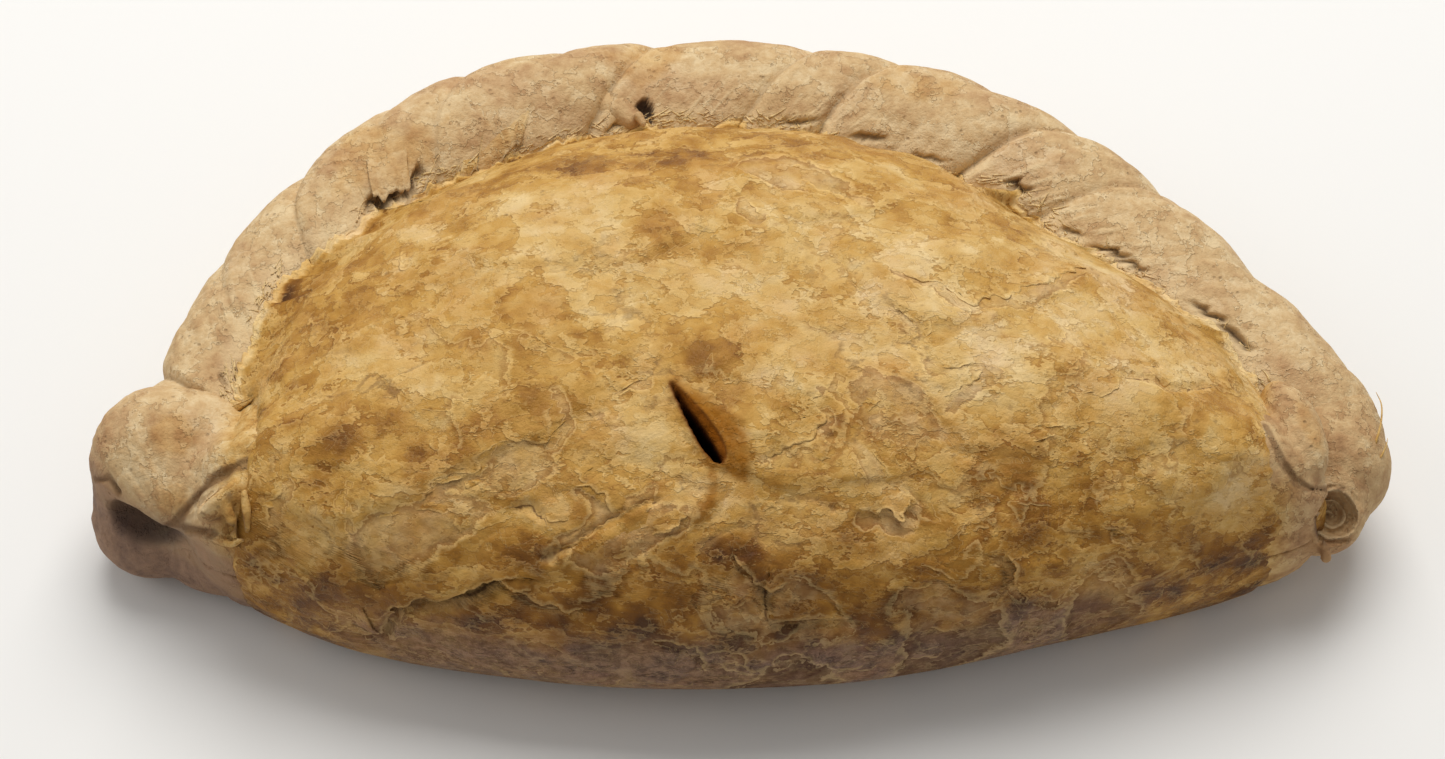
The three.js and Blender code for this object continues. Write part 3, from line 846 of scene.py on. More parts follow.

# The top layer broke along ragged lines: where it is left, its pale edge, and a painted shadow line under the
# edge
layer_group, group_in, group_out = new_group(
    "broken_layer",
    [("Place", "NodeSocketVector"), ("Scale", "NodeSocketFloat")],
    [("Upper", "NodeSocketFloat"), ("Rim", "NodeSocketFloat"), ("Line", "NodeSocketFloat")],
)
field = grain(layer_group, group_in["Place"], group_in["Scale"], 5, 0.66)
upper = ease(layer_group, field, 0.493, 0.507)
broken_off = calc(layer_group, "SUBTRACT", 1.0, upper)
layer_group.links.new(upper, group_out["Upper"])
layer_group.links.new(product(layer_group, ease(layer_group, field, 0.55, 0.50), upper), group_out["Rim"])
line = product(layer_group, ease(layer_group, field, 0.465, 0.49), broken_off)
layer_group.links.new(line, group_out["Line"])

# The surface of baked dough: fine grains of flour, and coarser unevenness
dough_group, group_in, group_out = new_group(
    "dough_grain",
    [("Place", "NodeSocketVector")],
    [("Fine", "NodeSocketFloat"), ("Coarse", "NodeSocketFloat")],
)
dough_group.links.new(grain(dough_group, group_in["Place"], 2400, 3, 0.6), group_out["Fine"])
dough_group.links.new(grain(dough_group, group_in["Place"], 420, 4, 0.6), group_out["Coarse"])

crust_material, tree, shader = new_material("glazed_crust")
place = add_node(tree, "ShaderNodeTexCoord").outputs["Object"]
dough = group_outputs(tree, dough_group, {"Place": place})
torn = group_outputs(tree, torn_group, {"Place": place, "Distance": mark_value(tree, "tear"), "Width": 0.9})
blotches = grain(tree, place, 130, 3, 0.55)
freckles = grain(tree, place, 560, 5, 0.72)
middling = grain(tree, place, 250, 3, 0.6)
pools = ease(tree, grain(tree, place, 175, 2, 0.5), 0.42, 0.62)

# How far it baked, in blotches, freckles and pools of glaze, and darker on a sheet's side of its torn edge
baked = mark_value(tree, "bake")
blotch_depth = calc(tree, "MULTIPLY_ADD", ease(tree, baked, 0.5, 0.75), 0.70, 0.52)
bake = varied(tree, baked, blotches, blotch_depth)
bake = varied(tree, bake, freckles, 0.20)
bake = varied(tree, bake, pools, 0.15, 0.55)
near_edge = ease(tree, calc(tree, "ABSOLUTE", mark_value(tree, "tear")), 3.5, 0.8)
edge_step = product(tree, calc(tree, "SUBTRACT", torn["Height"], 0.5), near_edge)
bake = calc(tree, "MULTIPLY_ADD", edge_step, 0.10, bake)

# The pale rims of the torn edges and of two broken layers all over, a coarse and a fine one, and painted
# shadows
# in the gaps under them: scale, difference in tone, and how strong the rims and the painted shadows are
broken_layers = [(95.0, 0.10, 0.9, 0.85), (270.0, 0.07, 0.6, 0.45)]
rims = product(tree, torn["Rim"], 0.85)
shadows = product(tree, torn["Below"], 0.5)
layer_height = 0.0
sparse_shadow_lines = ease(tree, middling, 0.56, 0.42)
broken_here = calc(tree, "MULTIPLY_ADD", ease(tree, baked, 0.45, 0.75), 0.1, 0.5)
lengthwise = stretched(tree, place, (0.72, 1.0, 1.5))
for layer_scale, tone_step, rim_share, shadow_line_share in broken_layers:
    layer = group_outputs(tree, layer_group, {"Place": lengthwise, "Scale": layer_scale})
    bake = varied(tree, bake, layer["Upper"], -tone_step)
    rims = calc(tree, "MAXIMUM", rims, product(tree, layer["Rim"], rim_share, broken_here))
    shadow_line_here = product(tree, layer["Line"], shadow_line_share, sparse_shadow_lines, broken_here)
    shadows = calc(tree, "MAXIMUM", shadows, shadow_line_here)
    layer_height = calc(tree, "ADD", layer_height, product(tree, layer["Upper"], tone_step))
colour = group_outputs(tree, baked_group, {"Bake": bake})["Color"]

# Low at the front painted shade makes it a greyer brown, in strips with painted shadow in the gaps between
# them
painted_low_shade = mark_value(tree, "painted_low_shade")
painted_low_shade_colour = mix(tree, ease(tree, freckles, 0.36, 0.64), (0.14, 0.080, 0.052, 1), (0.36, 0.22, 0.135, 1))
strips = grain(tree, stretched(tree, place, (0.4, 1.0, 2.0)), 190, 4, 0.6)
strip_shadow = ease(tree, calc(tree, "ABSOLUTE", calc(tree, "SUBTRACT", strips, 0.5)), 0.022, 0.006)
strip_shadow = product(tree, strip_shadow, ease(tree, middling, 0.46, 0.58))
painted_low_shade_colour = tinted(tree, painted_low_shade_colour, strip_shadow, 0.85, (0.045, 0.022, 0.018, 1))
colour = tinted(tree, colour, painted_low_shade, 0.75, painted_low_shade_colour)

# The bare inner layer, which painted shade turns dark low at the front
bareness = product(tree, mark_value(tree, "bare"), 0.8)
bare_colour = mix(tree, ease(tree, dough["Coarse"], 0.3, 0.7), (0.36, 0.20, 0.08, 1), (0.62, 0.415, 0.20, 1))
bare_colour = mix(tree, ease(tree, painted_low_shade, 0.15, 0.6), bare_colour, (0.11, 0.062, 0.042, 1))
bare_share = calc(tree, "MULTIPLY_ADD", middling, 1.6, -0.35, True)
bare_share = calc(tree, "MAXIMUM", bare_share, product(tree, painted_low_shade, 0.6))
colour = tinted(tree, colour, bareness, bare_share, bare_colour)

# Pinkish places and dark pores
pinkness = ease(tree, grain(tree, place, 95, 3, 0.6), 0.42, 0.72)
colour = tinted(tree, colour, pinkness, 0.35, multiplied(tree, colour, (1.0, 0.92, 1.25, 1)))
pore = product(tree, round_pores(tree, place, 420.0, 0.26, 0.08), ease(tree, middling, 0.5, 0.62))
colour = tinted(tree, colour, pore, 0.4, (0.17, 0.075, 0.022, 1))

# Rims, painted shadows under the torn edges, and cracks
rim_colour = mix(tree, dough["Fine"], (0.62, 0.43, 0.17, 1), (0.82, 0.65, 0.34, 1))
pale_colour = mix(tree, 0.45, rim_colour, multiplied(tree, colour, (1.5, 1.5, 1.6, 1)))
colour = tinted(tree, colour, rims, 0.7, pale_colour)
colour = tinted(tree, colour, shadows, 0.9, multiplied(tree, colour, (0.42, 0.24, 0.10, 1)))
# Cracks are dark inside, which is painted shade, with pale rims along them
crack_width = calc(tree, "ABSOLUTE", mark_value(tree, "crack"))
crack_ragged = varied(tree, crack_width, grain(tree, place, 1100, 3, 0.6), 0.7)
crack_shown = mark_value(tree, "crack_shown")
crack_part = ease(tree, middling, 0.38, 0.52)
crack_shade = product(tree, crack_shown, crack_part, ease(tree, crack_ragged, 0.32, 0.05))
crack_rim = product(tree, ease(tree, crack_ragged, 1.2, 0.3), crack_shown)
colour = tinted(tree, colour, crack_rim, 0.4, pale_colour)
colour = tinted(tree, colour, crack_shade, 0.8, (0.14, 0.062, 0.022, 1))

# The stain beside the vent, and the vent's brown walls, with painted light on the right wall, painted shade
# on the left one, and painted shade that turns it near black further in
vent_right = ease(tree, mark_value(tree, "vent_side"), -0.8, 1.6)
vent = mark_value(tree, "vent")
stain = mark_value(tree, "stain")
stain_shown = product(tree, stain, calc(tree, "MULTIPLY_ADD", freckles, 1.2, 0.35, True))
colour = tinted(tree, colour, stain_shown, 0.92, (0.29, 0.105, 0.005, 1))
colour = mix(tree, ease(tree, vent, -0.7, 0.0), colour, (0.15, 0.045, 0.003, 1))
vent_wall_lit_and_shaded = mix(tree, vent_right, (0.075, 0.022, 0.002, 1), (0.36, 0.11, 0.005, 1))
colour = mix(tree, ease(tree, vent, -0.25, 0.15), colour, vent_wall_lit_and_shaded)
vent_core_shade_depth = calc(tree, "MULTIPLY_ADD", vent_right, -1.1, vent)
colour = mix(tree, ease(tree, vent_core_shade_depth, 0.2, 0.9), colour, (0.008, 0.003, 0.001, 1))
tree.links.new(colour, shader.inputs["Base Color"])

# The glaze shines a little, most where it pooled, and least where the crust is torn, bare or stained
rough_glaze = calc(tree, "MULTIPLY_ADD", pools, -0.2, 0.6)
rough_dry = calc(tree, "MAXIMUM", torn["Rim"], calc(tree, "MAXIMUM", mark_value(tree, "bare"), stain))
tree.links.new(calc(tree, "MULTIPLY_ADD", rough_dry, 0.4, rough_glaze, True), shader.inputs["Roughness"])
shader.inputs["Specular IOR Level"].default_value = 0.16
height = calc(tree, "MULTIPLY_ADD", freckles, 0.6, product(tree, dough["Fine"], 0.2))
height = calc(tree, "MULTIPLY_ADD", layer_height, 1.8, height)
bump = add_node(tree, "ShaderNodeBump", {"Strength": 0.8, "Distance": 0.0008, "Height": height})
tree.links.new(bump.outputs["Normal"], shader.inputs["Normal"])

crust = add_piece("crust", crust_points, crust_triangles, crust_marks, crust_material)
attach(crust, "root")
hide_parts("pasty")


# The torn edges of the top layer, as thin sheets of crust that stand a little proud of what lies below.
# Each runs into the crust at its back and at its two ends. Smaller flakes like them lie all over the lid.
sheet_thickness = 0.3
sheet_step = 0.34  # between points along an edge
sheet_lines = 9  # points from the edge to the back
small_flakes = 60
clear_of_vent = 13  # no small flake begins nearer to the vent


def make_sheet(path, reach, stands, number, jagged=1.0, rim=1.0, bake_change=0.0):
    """A thin torn sheet along a path over the body: its places, lifts, distances from the edge and change
    in bake, to be laid on the crust. rim is the width of its pale rim against an ordinary one's.
    """
    angle, tilt = path
    line = body_point(angle, tilt)
    run = np.concatenate([[0], np.cumsum(length_of(np.diff(line, axis=0)))])
    count = max(6, round(run[-1] / sheet_step))
    places = np.linspace(0, run[-1], count)
    angle, tilt = np.interp(places, run, np.unwrap(angle)), np.interp(places, run, tilt)
    line, normal, around, downhill = body_frame(angle, tilt)
    ahead = unit(np.gradient(line, axis=0))
    inward = np.cross(normal, ahead)
    on_line = side_by_side(places, 0.0, 13.7 * number)
    jag = noise(on_line / 5.3) + 0.7 * noise(on_line / 2.1 + 3) + 0.55 * noise(on_line / 0.8 + 5)
    from_ends = np.minimum(places, run[-1] - places)
    taper = smooth(from_ends, 0, min(6, 0.4 * run[-1]))
    back = np.linspace(0, 1, sheet_lines) ** 1.5
    depth = jagged * jag[:, None] * (1 - back) * (0.3 + 0.7 * taper[:, None])
    depth = depth + reach * (0.35 + 0.65 * taper[:, None]) * back
    around_by = depth * (inward * around).sum(-1)[:, None]
    downhill_by = depth * (inward * downhill).sum(-1)[:, None]
    spots = step_on_body(angle[:, None], tilt[:, None], around_by, downhill_by)
    uneven = 0.25 + 1.3 * smooth(noise(on_line / 3.4 + 9), 0.0, 0.6)
    rise = stands * uneven * taper
    lift = rise[:, None] * (1 - back) ** 1.3 - 0.55 * smooth(back, 0.45, 1) - 0.5 * (1 - taper[:, None])
    from_edge = reach * back + 0 * lift
    return np.stack(spots, -1), lift, from_edge / rim, bake_change + 0 * lift


def closed_sheet(top, under):
    """Closes a grid of points and the one that lies under it into a thin solid."""
    tube = np.concatenate([top, under[:, ::-1]], 1)
    points = np.vstack([tube[0].mean(0), tube.reshape(-1, 3), tube[-1].mean(0)])
    return points, rings_to_triangles([tube.shape[1]] * len(tube))


def on_closed_sheet(grid):
    """The grid's values for each point of its closed sheet."""
    ring = np.concatenate([grid, grid[:, ::-1]], 1)
    return np.concatenate([ring[0, :1], ring.ravel(), ring[-1, :1]])


def lay_sheets(sheets):
    """Lays sheets on the crust and closes each into a thin solid with its own marks."""
    spots = np.vstack([sheet[0].reshape(-1, 2) for sheet in sheets])
    lifts = np.concatenate([sheet[1].ravel() for sheet in sheets])
    placed, way_out, marks = crust_surface(spots[:, 0], spots[:, 1], lifts, unbroken=True)
    inner_edge = np.concatenate([sheet[2].ravel() for sheet in sheets])
    marks["tear"] = inner_edge
    marks["bake"] = marks["bake"] + np.concatenate([sheet[3].ravel() for sheet in sheets])
    marks["crack_shown"] = marks["crack_shown"] * smooth(inner_edge, 1, 4)
    marks["bare"] = 0 * inner_edge
    parts = []
    first = 0
    for spot, *_ in sheets:
        rows, lines = spot.shape[:2]
        own = slice(first, first + rows * lines)
        first += rows * lines
        top = placed[own].reshape(rows, lines, 3)
        thickness = sheet_thickness * (0.55 + 0.45 * np.linspace(0, 1, lines))
        under = top - way_out[own].reshape(rows, lines, 3) * thickness[:, None]
        own_marks = {}
        for mark, values in marks.items():
            own_marks[mark] = on_closed_sheet(values[own].reshape(rows, lines))
        parts.append((*closed_sheet(top, under), own_marks))
    return parts


def join_parts(parts):
    """Puts closed shapes with the same marks into one mesh."""
    points = np.vstack([part[0] for part in parts])
    firsts = np.cumsum([0] + [len(part[0]) for part in parts])
    triangles = np.vstack([part[1] + first for part, first in zip(parts, firsts)])
    marks = {mark: np.concatenate([part[2][mark] for part in parts]) for mark in parts[0][2]}
    return points, triangles, marks


sheets = []
for path, reach, stands in torn_edges:
    plan = curve_through(path, per_span=40)
    stands = stands * (0.07 + 0.50 * smooth(plan[:, 1].mean(), -30, -42))
    sheets.append(make_sheet(on_body(plan[:, 0], plan[:, 1]), reach, stands, len(sheets)))
random = np.random.default_rng(7)
while len(sheets) < len(torn_edges) + small_flakes:
    x, y = random.uniform(-76, 92), random.uniform(-62, 34)
    angle, tilt = on_body(x, y)
    low = 0.2 + 0.8 * smooth(y, 12, -28)
    if math.hypot(x - vent_place[0], y - vent_place[1]) < clear_of_vent or random.random() > low:
        continue
    if tilt > math.radians(60 if y > 12 else 125):
        continue
    length = random.uniform(3.5, 12)
    turn = random.normal(0, 0.5)
    bend = random.normal(0, 0.2) * length
    along = length * np.array([-0.5, -0.25, 0, 0.25, 0.5])
    aside = bend * (1 - (2 * along / length) ** 2)
    around_by = along * math.cos(turn) + aside * math.sin(turn)
    downhill_by = along * math.sin(turn) - aside * math.cos(turn)
    path = step_on_body(angle, tilt, around_by, downhill_by)
    stands = random.uniform(0.03, 0.16)
    reach = random.uniform(1.8, 4)
    sheets.append(make_sheet(path, reach, stands, len(sheets), 0.7, 0.8, random.normal(0, 0.05)))

flake_points, flake_triangles, flake_marks = join_parts(lay_sheets(sheets))
flakes = add_piece("crust_flakes", flake_points, flake_triangles, flake_marks, crust_material)
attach(flakes, "root")
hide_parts("pasty")


# The crimp: the joined edges of the round, rolled over and pressed down by thumb into a rope that runs
# round the back. It starts in a knob at the left, whose corner is tucked under, and ends in a curled tip.
# It wasn't glazed, so it is pale and matt, with floury creases.
crimp_path = [
    (-94, -26.5, 16.5), (-87.5, -12, 18), (-82, 1.5, 18), (-72.5, 22.5, 19), (-55, 43.8, 20),
    (-30.5, 55.5, 21), (0, 57.7, 21), (30, 52.8, 21), (54, 41, 20), (74.5, 21, 18.5), (91, 0.5, 17),
    (97.5, -13, 15.5), (96, -26.5, 14),
]

# The rope's radius at distances along it, and the one by which lengths round it are reckoned
crimp_radii = [(0, 12), (16, 12), (27, 9.6), (50, 10), (110, 10.3), (195, 10.8), (250, 10.5), (285, 10)]
rope_radius = 10.5

# Each fold's width, how deep the outline dips where it starts, and how clear its crease is on top;
# the first is the knob
folds = [
    (25, 0, 0), (22, 1.5, 0.9), (20, 1.0, 0.15), (19, 1.5, 0.6), (12.5, 0.7, 0.1), (16.5, 1.1, 0.5),
    (14, 1.2, 0.2), (27, 1.5, 1.0), (13.5, 1.3, 0.8), (15.5, 1.5, 0.85), (13.5, 1.1, 0.15), (17.5, 1.7, 1.0),
    (20, 1.5, 0.6), (20.5, 1.2, 0.2), (13, 0.9, 0.1), (22, 1.1, 0.4),
]

# Where in its width a fold is thickest, how far the rope reaches over the body for each millimetre of its
# radius, how far a crease runs along the rope while it crosses it, and how uneven the dough is
fold_crown = 0.4
seam_reach = 1.3
crease_lean = 13
dough_relief = 0.4

# How finely the rope is meshed
crimp_rows = 640
crimp_sides = 138

crimp_curve = curve_through(crimp_path, per_span=300)
crimp_run = np.concatenate([[0], np.cumsum(length_of(np.diff(crimp_curve, axis=0)))])
crimp_length = crimp_run[-1]
fold_widths, outline_dips, crease_strengths = np.array([*folds, (1, 0, 0)], float).T
fold_starts = np.concatenate([[0], np.cumsum(fold_widths)])[:-1]

# The line round the rope that the lid's glazed surface runs up to: row, and angle round the rope in degrees
seam_line = [
    (20, 128), (30.5, 125), (44, 113), (57.7, 111), (68.7, 121), (79.2, 127), (91.5, 140), (108, 150),
    (121, 148), (131, 150), (138.5, 140), (165.5, 140), (178.5, 144), (191, 146), (199, 148), (206, 136),
    (213, 140), (222.5, 142), (232.6, 131), (244, 123), (252, 119), (258, 125), (264, 140), (280, 150),
]

# Where the rope gapes beside the seam: row, half length, depth, half width
seam_gaps = [
    (34, 2, 0.8, 0.5), (86, 4.5, 2.2, 1.0), (92.5, 3, 1.7, 0.8), (134, 2.5, 1.2, 0.5), (165, 3, 0.9, 0.4),
    (178.5, 3, 1.3, 0.5), (191, 3, 0.9, 0.4), (208, 2.2, 1.8, 0.6), (222, 1.6, 1.0, 0.4),
    (229, 2.5, 1.3, 0.5), (233, 2, 1.2, 0.5), (247, 2.8, 1.4, 0.5), (252, 2.4, 1.8, 0.6),
]


def crimp_centre(distance):
    """The rope's middle at distances along it."""
    return side_by_side(*(np.interp(distance, crimp_run, crimp_curve[:, n]) for n in range(3)))


def crimp_out(distance):
    """The level direction away from the body."""
    ahead = crimp_centre(distance + 0.3) - crimp_centre(distance - 0.3)
    return unit(side_by_side(-ahead[..., 1], ahead[..., 0], 0.0))


def from_table(rows, place):
    """The value at a place between the rows of a table, without kinks."""
    places, values = np.array(rows, float).T
    n = np.clip(np.searchsorted(places, place) - 1, 0, len(places) - 2)
    share = np.clip((place - places[n]) / (places[n + 1] - places[n]), 0, 1)
    return values[n] + (values[n + 1] - values[n]) * share * share * (3 - 2 * share)


def lean_at(turn):
    """How far a crease has run along the rope at an angle round it, from its outer to its inner side."""
    under, outer, inner = (math.radians(angle) for angle in (-90, 35, 150))
    per_angle = crease_lean / (inner - outer)
    run_back = per_angle * (under - outer) - crease_lean
    back = crease_lean + run_back * smooth(turn, inner, under + 2 * math.pi)
    return np.where(turn < inner, per_angle * (turn - outer), back)


def crimp_surface(row, turn, gaping=1.0):
    """Places on the rope's dough for rows across it and angles round it, and what the material needs."""
    leaning = smooth(row, 14, 44) * (1 - smooth(row, crimp_length - 34, crimp_length - 10))
    leaning = leaning * (1 + 0.4 * smooth(row, 140, 75))
    distance = np.clip(row - lean_at(turn) * leaning, 0, crimp_length)
    centre, out = crimp_centre(distance), crimp_out(distance)
    radius = from_table(crimp_radii, distance)
    from_end = np.minimum(np.minimum(distance, crimp_length - distance), radius)
    domed_end = np.sqrt(np.maximum(1 - (1 - from_end / radius) ** 2, 0))
    across, up = np.cos(turn), np.sin(turn)
    shown = smooth(turn, math.radians(-80), math.radians(-20))
    shown = shown * (1 - smooth(turn, math.radians(190), math.radians(250)))

    # Where the row lies in its fold, and the nearest crease
    wobble = 1.1 * rough(centre + 6 * side_by_side(across, up, 0.0), 7, 3, 0.5, 101)
    row_wobble = row + wobble * smooth(row, 20, 30)
    fold = np.clip(np.searchsorted(fold_starts, row_wobble, "right") - 1, 0, len(folds) - 1)
    share = np.clip((row_wobble - fold_starts[fold]) / fold_widths[fold], 0, 1)
    rising = share < fold_crown
    from_crown = np.where(rising, 1 - share / fold_crown, (share - fold_crown) / (1 - fold_crown))
    nearest = np.where(share < 0.5, fold, fold + 1)
    from_crease = row_wobble - fold_starts[nearest]
    on_top = smooth(turn, math.radians(35), math.radians(95))
    strength = crease_strengths[nearest] * (0.55 + 0.45 * on_top)
    dip = np.where(rising, outline_dips[fold], outline_dips[fold + 1])
    sunk = dip * from_crown**2.5 * (1 - on_top * (1 - 0.75 * crease_strengths[nearest]))
    swell = 0.45 * np.exp(-((from_crease - 1.6) ** 2) / 1.6)
    groove = strength * (0.9 * np.exp(-np.abs(from_crease + 0.3) / 0.7) - swell)
    uneven = dough_relief * noise(side_by_side(centre[..., 0] / 9 + across, centre[..., 1] / 9 + up, 0.5))

    # Gaps beside the seam
    from_seam = (turn - np.radians(from_table(seam_line, row))) * radius
    gape = 0 * row
    gap_place = side_by_side(row / 1.3, from_seam / 2.4, 6.1)
    gap_ragged = noise(gap_place) + 0.6 * noise(gap_place * 2.3 + 4)
    for gap_row, half_length, depth, half_width in seam_gaps:
        aside = from_seam + 1.2 + 0.12 * (row - gap_row) + 0.9 * half_width * gap_ragged
        from_gap = ((row - gap_row) / half_length) ** 4 + (aside / half_width) ** 2
        gape = np.maximum(gape, depth * np.exp(-from_gap))

    diving = 1.3 * (smooth(row, 30, 20) + smooth(row, crimp_length - 23, crimp_length - 13))
    reach = (radius - (sunk + groove) * shown - gape * gaping + uneven - diving) * domed_end
    sideways = reach * across * np.where(across < 0, seam_reach, 1)
    smooth_place = centre + out * sideways[..., None]
    smooth_place[..., 2] = centre[..., 2] + reach * up
    normal = unit(out * across[..., None] + side_by_side(0.0, 0.0, up))

    # Streaks run with the folds; soft dents and pinches lie across them, and the dough is stretched
    # into pale threads beside the seam
    lengthwise = side_by_side(row / 2.8 + 0.5 * turn, turn * radius / 12, 3.3)
    streaks = 0.14 * noise(lengthwise) + 0.08 * noise(lengthwise * 2.3 + 7)
    dents = 0.45 * rough(smooth_place, 11, 3, 0.5, 103) + 0.14 * rough(smooth_place, 2.4, 3, 0.55, 104)
    thread_place = side_by_side(row / 0.9 + 0.4 * turn * radius, turn * radius / 4.5, 1.7)
    beside_seam = smooth(from_seam, -9, -1) * smooth(rough(smooth_place, 12, 2, 0.5, 105), -0.25, 0.2)
    threads = smooth(noise(thread_place) + 0.5 * noise(thread_place * 2.2 + 3), 0.0, 0.6) * beside_seam
    threads = np.maximum(threads, 0.6 * smooth(from_seam, -3.6, -0.8) * smooth(from_seam, 3, 1))
    lift = (streaks + dents + 0.22 * threads) * domed_end * shown
    placed = smooth_place + normal * lift[..., None]

    bake = 0.12 + 0.10 * rough(smooth_place, 14, 3, 0.5, 111) + 0.07 * smooth(up, 0.2, 1.0)
    bake = bake + 0.22 * streaks * shown
    bake = bake - 0.08 * np.exp(-np.abs(from_crease) / 2.5) * strength
    amber = 0.6 * smooth(rough(smooth_place, 16, 3, 0.55, 112), 0.12, 0.4)
    return placed, {
        "bake": bake,
        "crease": from_crease,
        "crease_shown": strength * shown,
        "threads": threads,
        "gape": np.clip(gape / 1.6, 0, 1),
        "amber": amber * smooth(up, 0.35, 0.8) * smooth(row, 252, 230),
        "bruise": 0 * row,
        "glazed": 0 * row,
    }


rows = np.linspace(20, crimp_length - 13, crimp_rows)
fine_turns = np.linspace(-90, 270, 721)
side_density = 0.35 + 0.65 * smooth(fine_turns, -60, -30) * smooth(fine_turns, 215, 185)
side_run = np.concatenate([[0], np.cumsum((side_density[1:] + side_density[:-1]) / 2)])
turns = np.radians(np.interp(np.arange(crimp_sides) / crimp_sides * side_run[-1], side_run, fine_turns))
row_grid, turn_grid = (grid.ravel() for grid in np.meshgrid(rows, turns, indexing="ij"))
rope_points, rope_marks = crimp_surface(row_grid, turn_grid)
rope_points = np.vstack([crimp_centre(rows[:1]), rope_points, crimp_centre(rows[-1:])])
for mark, values in rope_marks.items():
    rope_marks[mark] = np.concatenate([values[:1], values, values[-1:]])
rope_triangles = rings_to_triangles([crimp_sides] * len(rows))[:, ::-1]

# Where one fold did not close: place, half sizes, and the way that the hole goes in
open_fold = ((-13.4, 48.6, 28.6), (1.6, 2.8, 2.4), (0, 0.4, -1))


def carve(points, at, radii, towards):
    """Presses the points inside an oval on to its far side, which leaves a hollow with a crisp mouth."""
    start = (points - at) / radii
    push = np.array(towards) / radii
    a, b, c = push @ push, start @ push, (start * start).sum(-1) - 1
    far = (-b + np.sqrt(np.maximum(b * b - a * c, 0))) / a
    inside = c < 0
    return np.where(inside[:, None], points + far[:, None] * np.array(towards), points), inside


# The hole's inside is marked, for painted shade in the material
rope_points, inside = carve(rope_points, *open_fold)
rope_marks["hollow"] = inside

# Loose flakes of skin that hang over the seam from higher up the rope: first and last row, how far up it
# they begin and where they end (below 0 is up the rope), how far they stand off, how glazed they are, and
# how far the upper edge drops beyond its first row before it climbs again
loose_flakes = [
    (83.5, 92.0, -7.5, -1.4, 0.7, 0.0, 0.0),
    (103.5, 107.5, -2.6, 0.4, 0.6, 1.0, 0.0),
    (107.0, 115.5, -6.0, -0.3, 0.7, 0.35, 0.4),
]
flake_thickness = 0.35


def outward_facing(points, triangles):
    """The triangles of a closed shape, turned over if they face inwards."""
    a, b, c = (points[triangles[:, n]] for n in range(3))
    return triangles[:, ::-1] if (a * np.cross(b, c)).sum() < 0 else triangles


def loose_flake(first_row, last_row, upper, lower, stands, glazed, slant, number):
    """A thin sheet over the rope that is fixed at its upper edge and ragged at its lower one."""
    rows_along = np.arange(first_row, last_row, 0.3)[:, None]
    down = np.linspace(0, 1, 14)[None, :]
    ragged = noise(side_by_side(rows_along / 1.5, 0.0, number))
    ragged = ragged + 0.6 * noise(side_by_side(rows_along / 0.6, 0.0, number + 5))
    along = (rows_along - first_row) / (last_row - first_row)
    upper_edge = upper + (lower - upper) * slant * (along > 0) * (1 - 1.6 * along)
    over_rope = upper_edge + (lower - upper + 0.6 * ragged) * down
    turn_along = np.radians(from_table(seam_line, rows_along + 0 * down)) + over_rope / rope_radius
    top = crimp_surface(rows_along + 0 * down, turn_along, 0.0)[0]
    outward = unit(top - crimp_centre(rows_along + 0 * down))
    lift = -0.2 + (stands + 0.2) * smooth(down, 0, 0.8) + 0.1 * noise(top / 2.2)
    top = top + outward * lift[..., None]
    points, triangles = closed_sheet(top, top - outward * flake_thickness)
    from_edge = on_closed_sheet((lower - upper) * (1 - down) + 0 * rows_along)
    flat = np.zeros(len(points))
    own = {mark: flat for mark in rope_marks}
    own.update(bake=flat + 0.14, crease=flat + far_away, threads=smooth(from_edge, 0.9, 0.2))
    own.update(amber=flat + 0.45, glazed=flat + glazed)
    return points, outward_facing(points, triangles), own


crimp_parts = [(rope_points, rope_triangles, rope_marks)]
crimp_parts += [loose_flake(*flake, number) for number, flake in enumerate(loose_flakes)]
crimp_points, crimp_triangles, crimp_marks = join_parts(crimp_parts)

crimp_colours = [
    (0.00, (0.72, 0.550, 0.32)),
    (0.18, (0.60, 0.410, 0.205)),
    (0.38, (0.46, 0.275, 0.125)),
    (0.62, (0.25, 0.130, 0.055)),
    (1.00, (0.09, 0.050, 0.030)),
]
# The painted shade in the crimp's pores and creases
crease_shade_colour = (0.20, 0.105, 0.045, 1)

crimp_material, tree, shader = new_material("unglazed_crimp")
place = add_node(tree, "ShaderNodeTexCoord").outputs["Object"]
dough = group_outputs(tree, dough_group, {"Place": place})
blotches = grain(tree, place, 150, 4, 0.6)
wrinkles = grain(tree, place, 420, 5, 0.7)
skin = group_outputs(tree, layer_group, {"Place": place, "Scale": 135.0})
tone = varied(tree, mark_value(tree, "bake"), blotches, 0.55)
tone = varied(tree, tone, wrinkles, 0.75)
# The skin's broken layer: paler where it is left and on its rims, with a painted shadow line under its edges
tone = varied(tree, tone, skin["Upper"], -0.05)
tone = calc(tree, "MULTIPLY_ADD", skin["Rim"], -0.08, tone)
tone = calc(tree, "MULTIPLY_ADD", skin["Line"], 0.06, tone)
colour = colour_ramp(tree, tone, crimp_colours)
pinkness = ease(tree, grain(tree, place, 75, 3, 0.6), 0.45, 0.7)
colour = tinted(tree, colour, pinkness, 0.45, multiplied(tree, colour, (0.86, 0.76, 0.80, 1)))

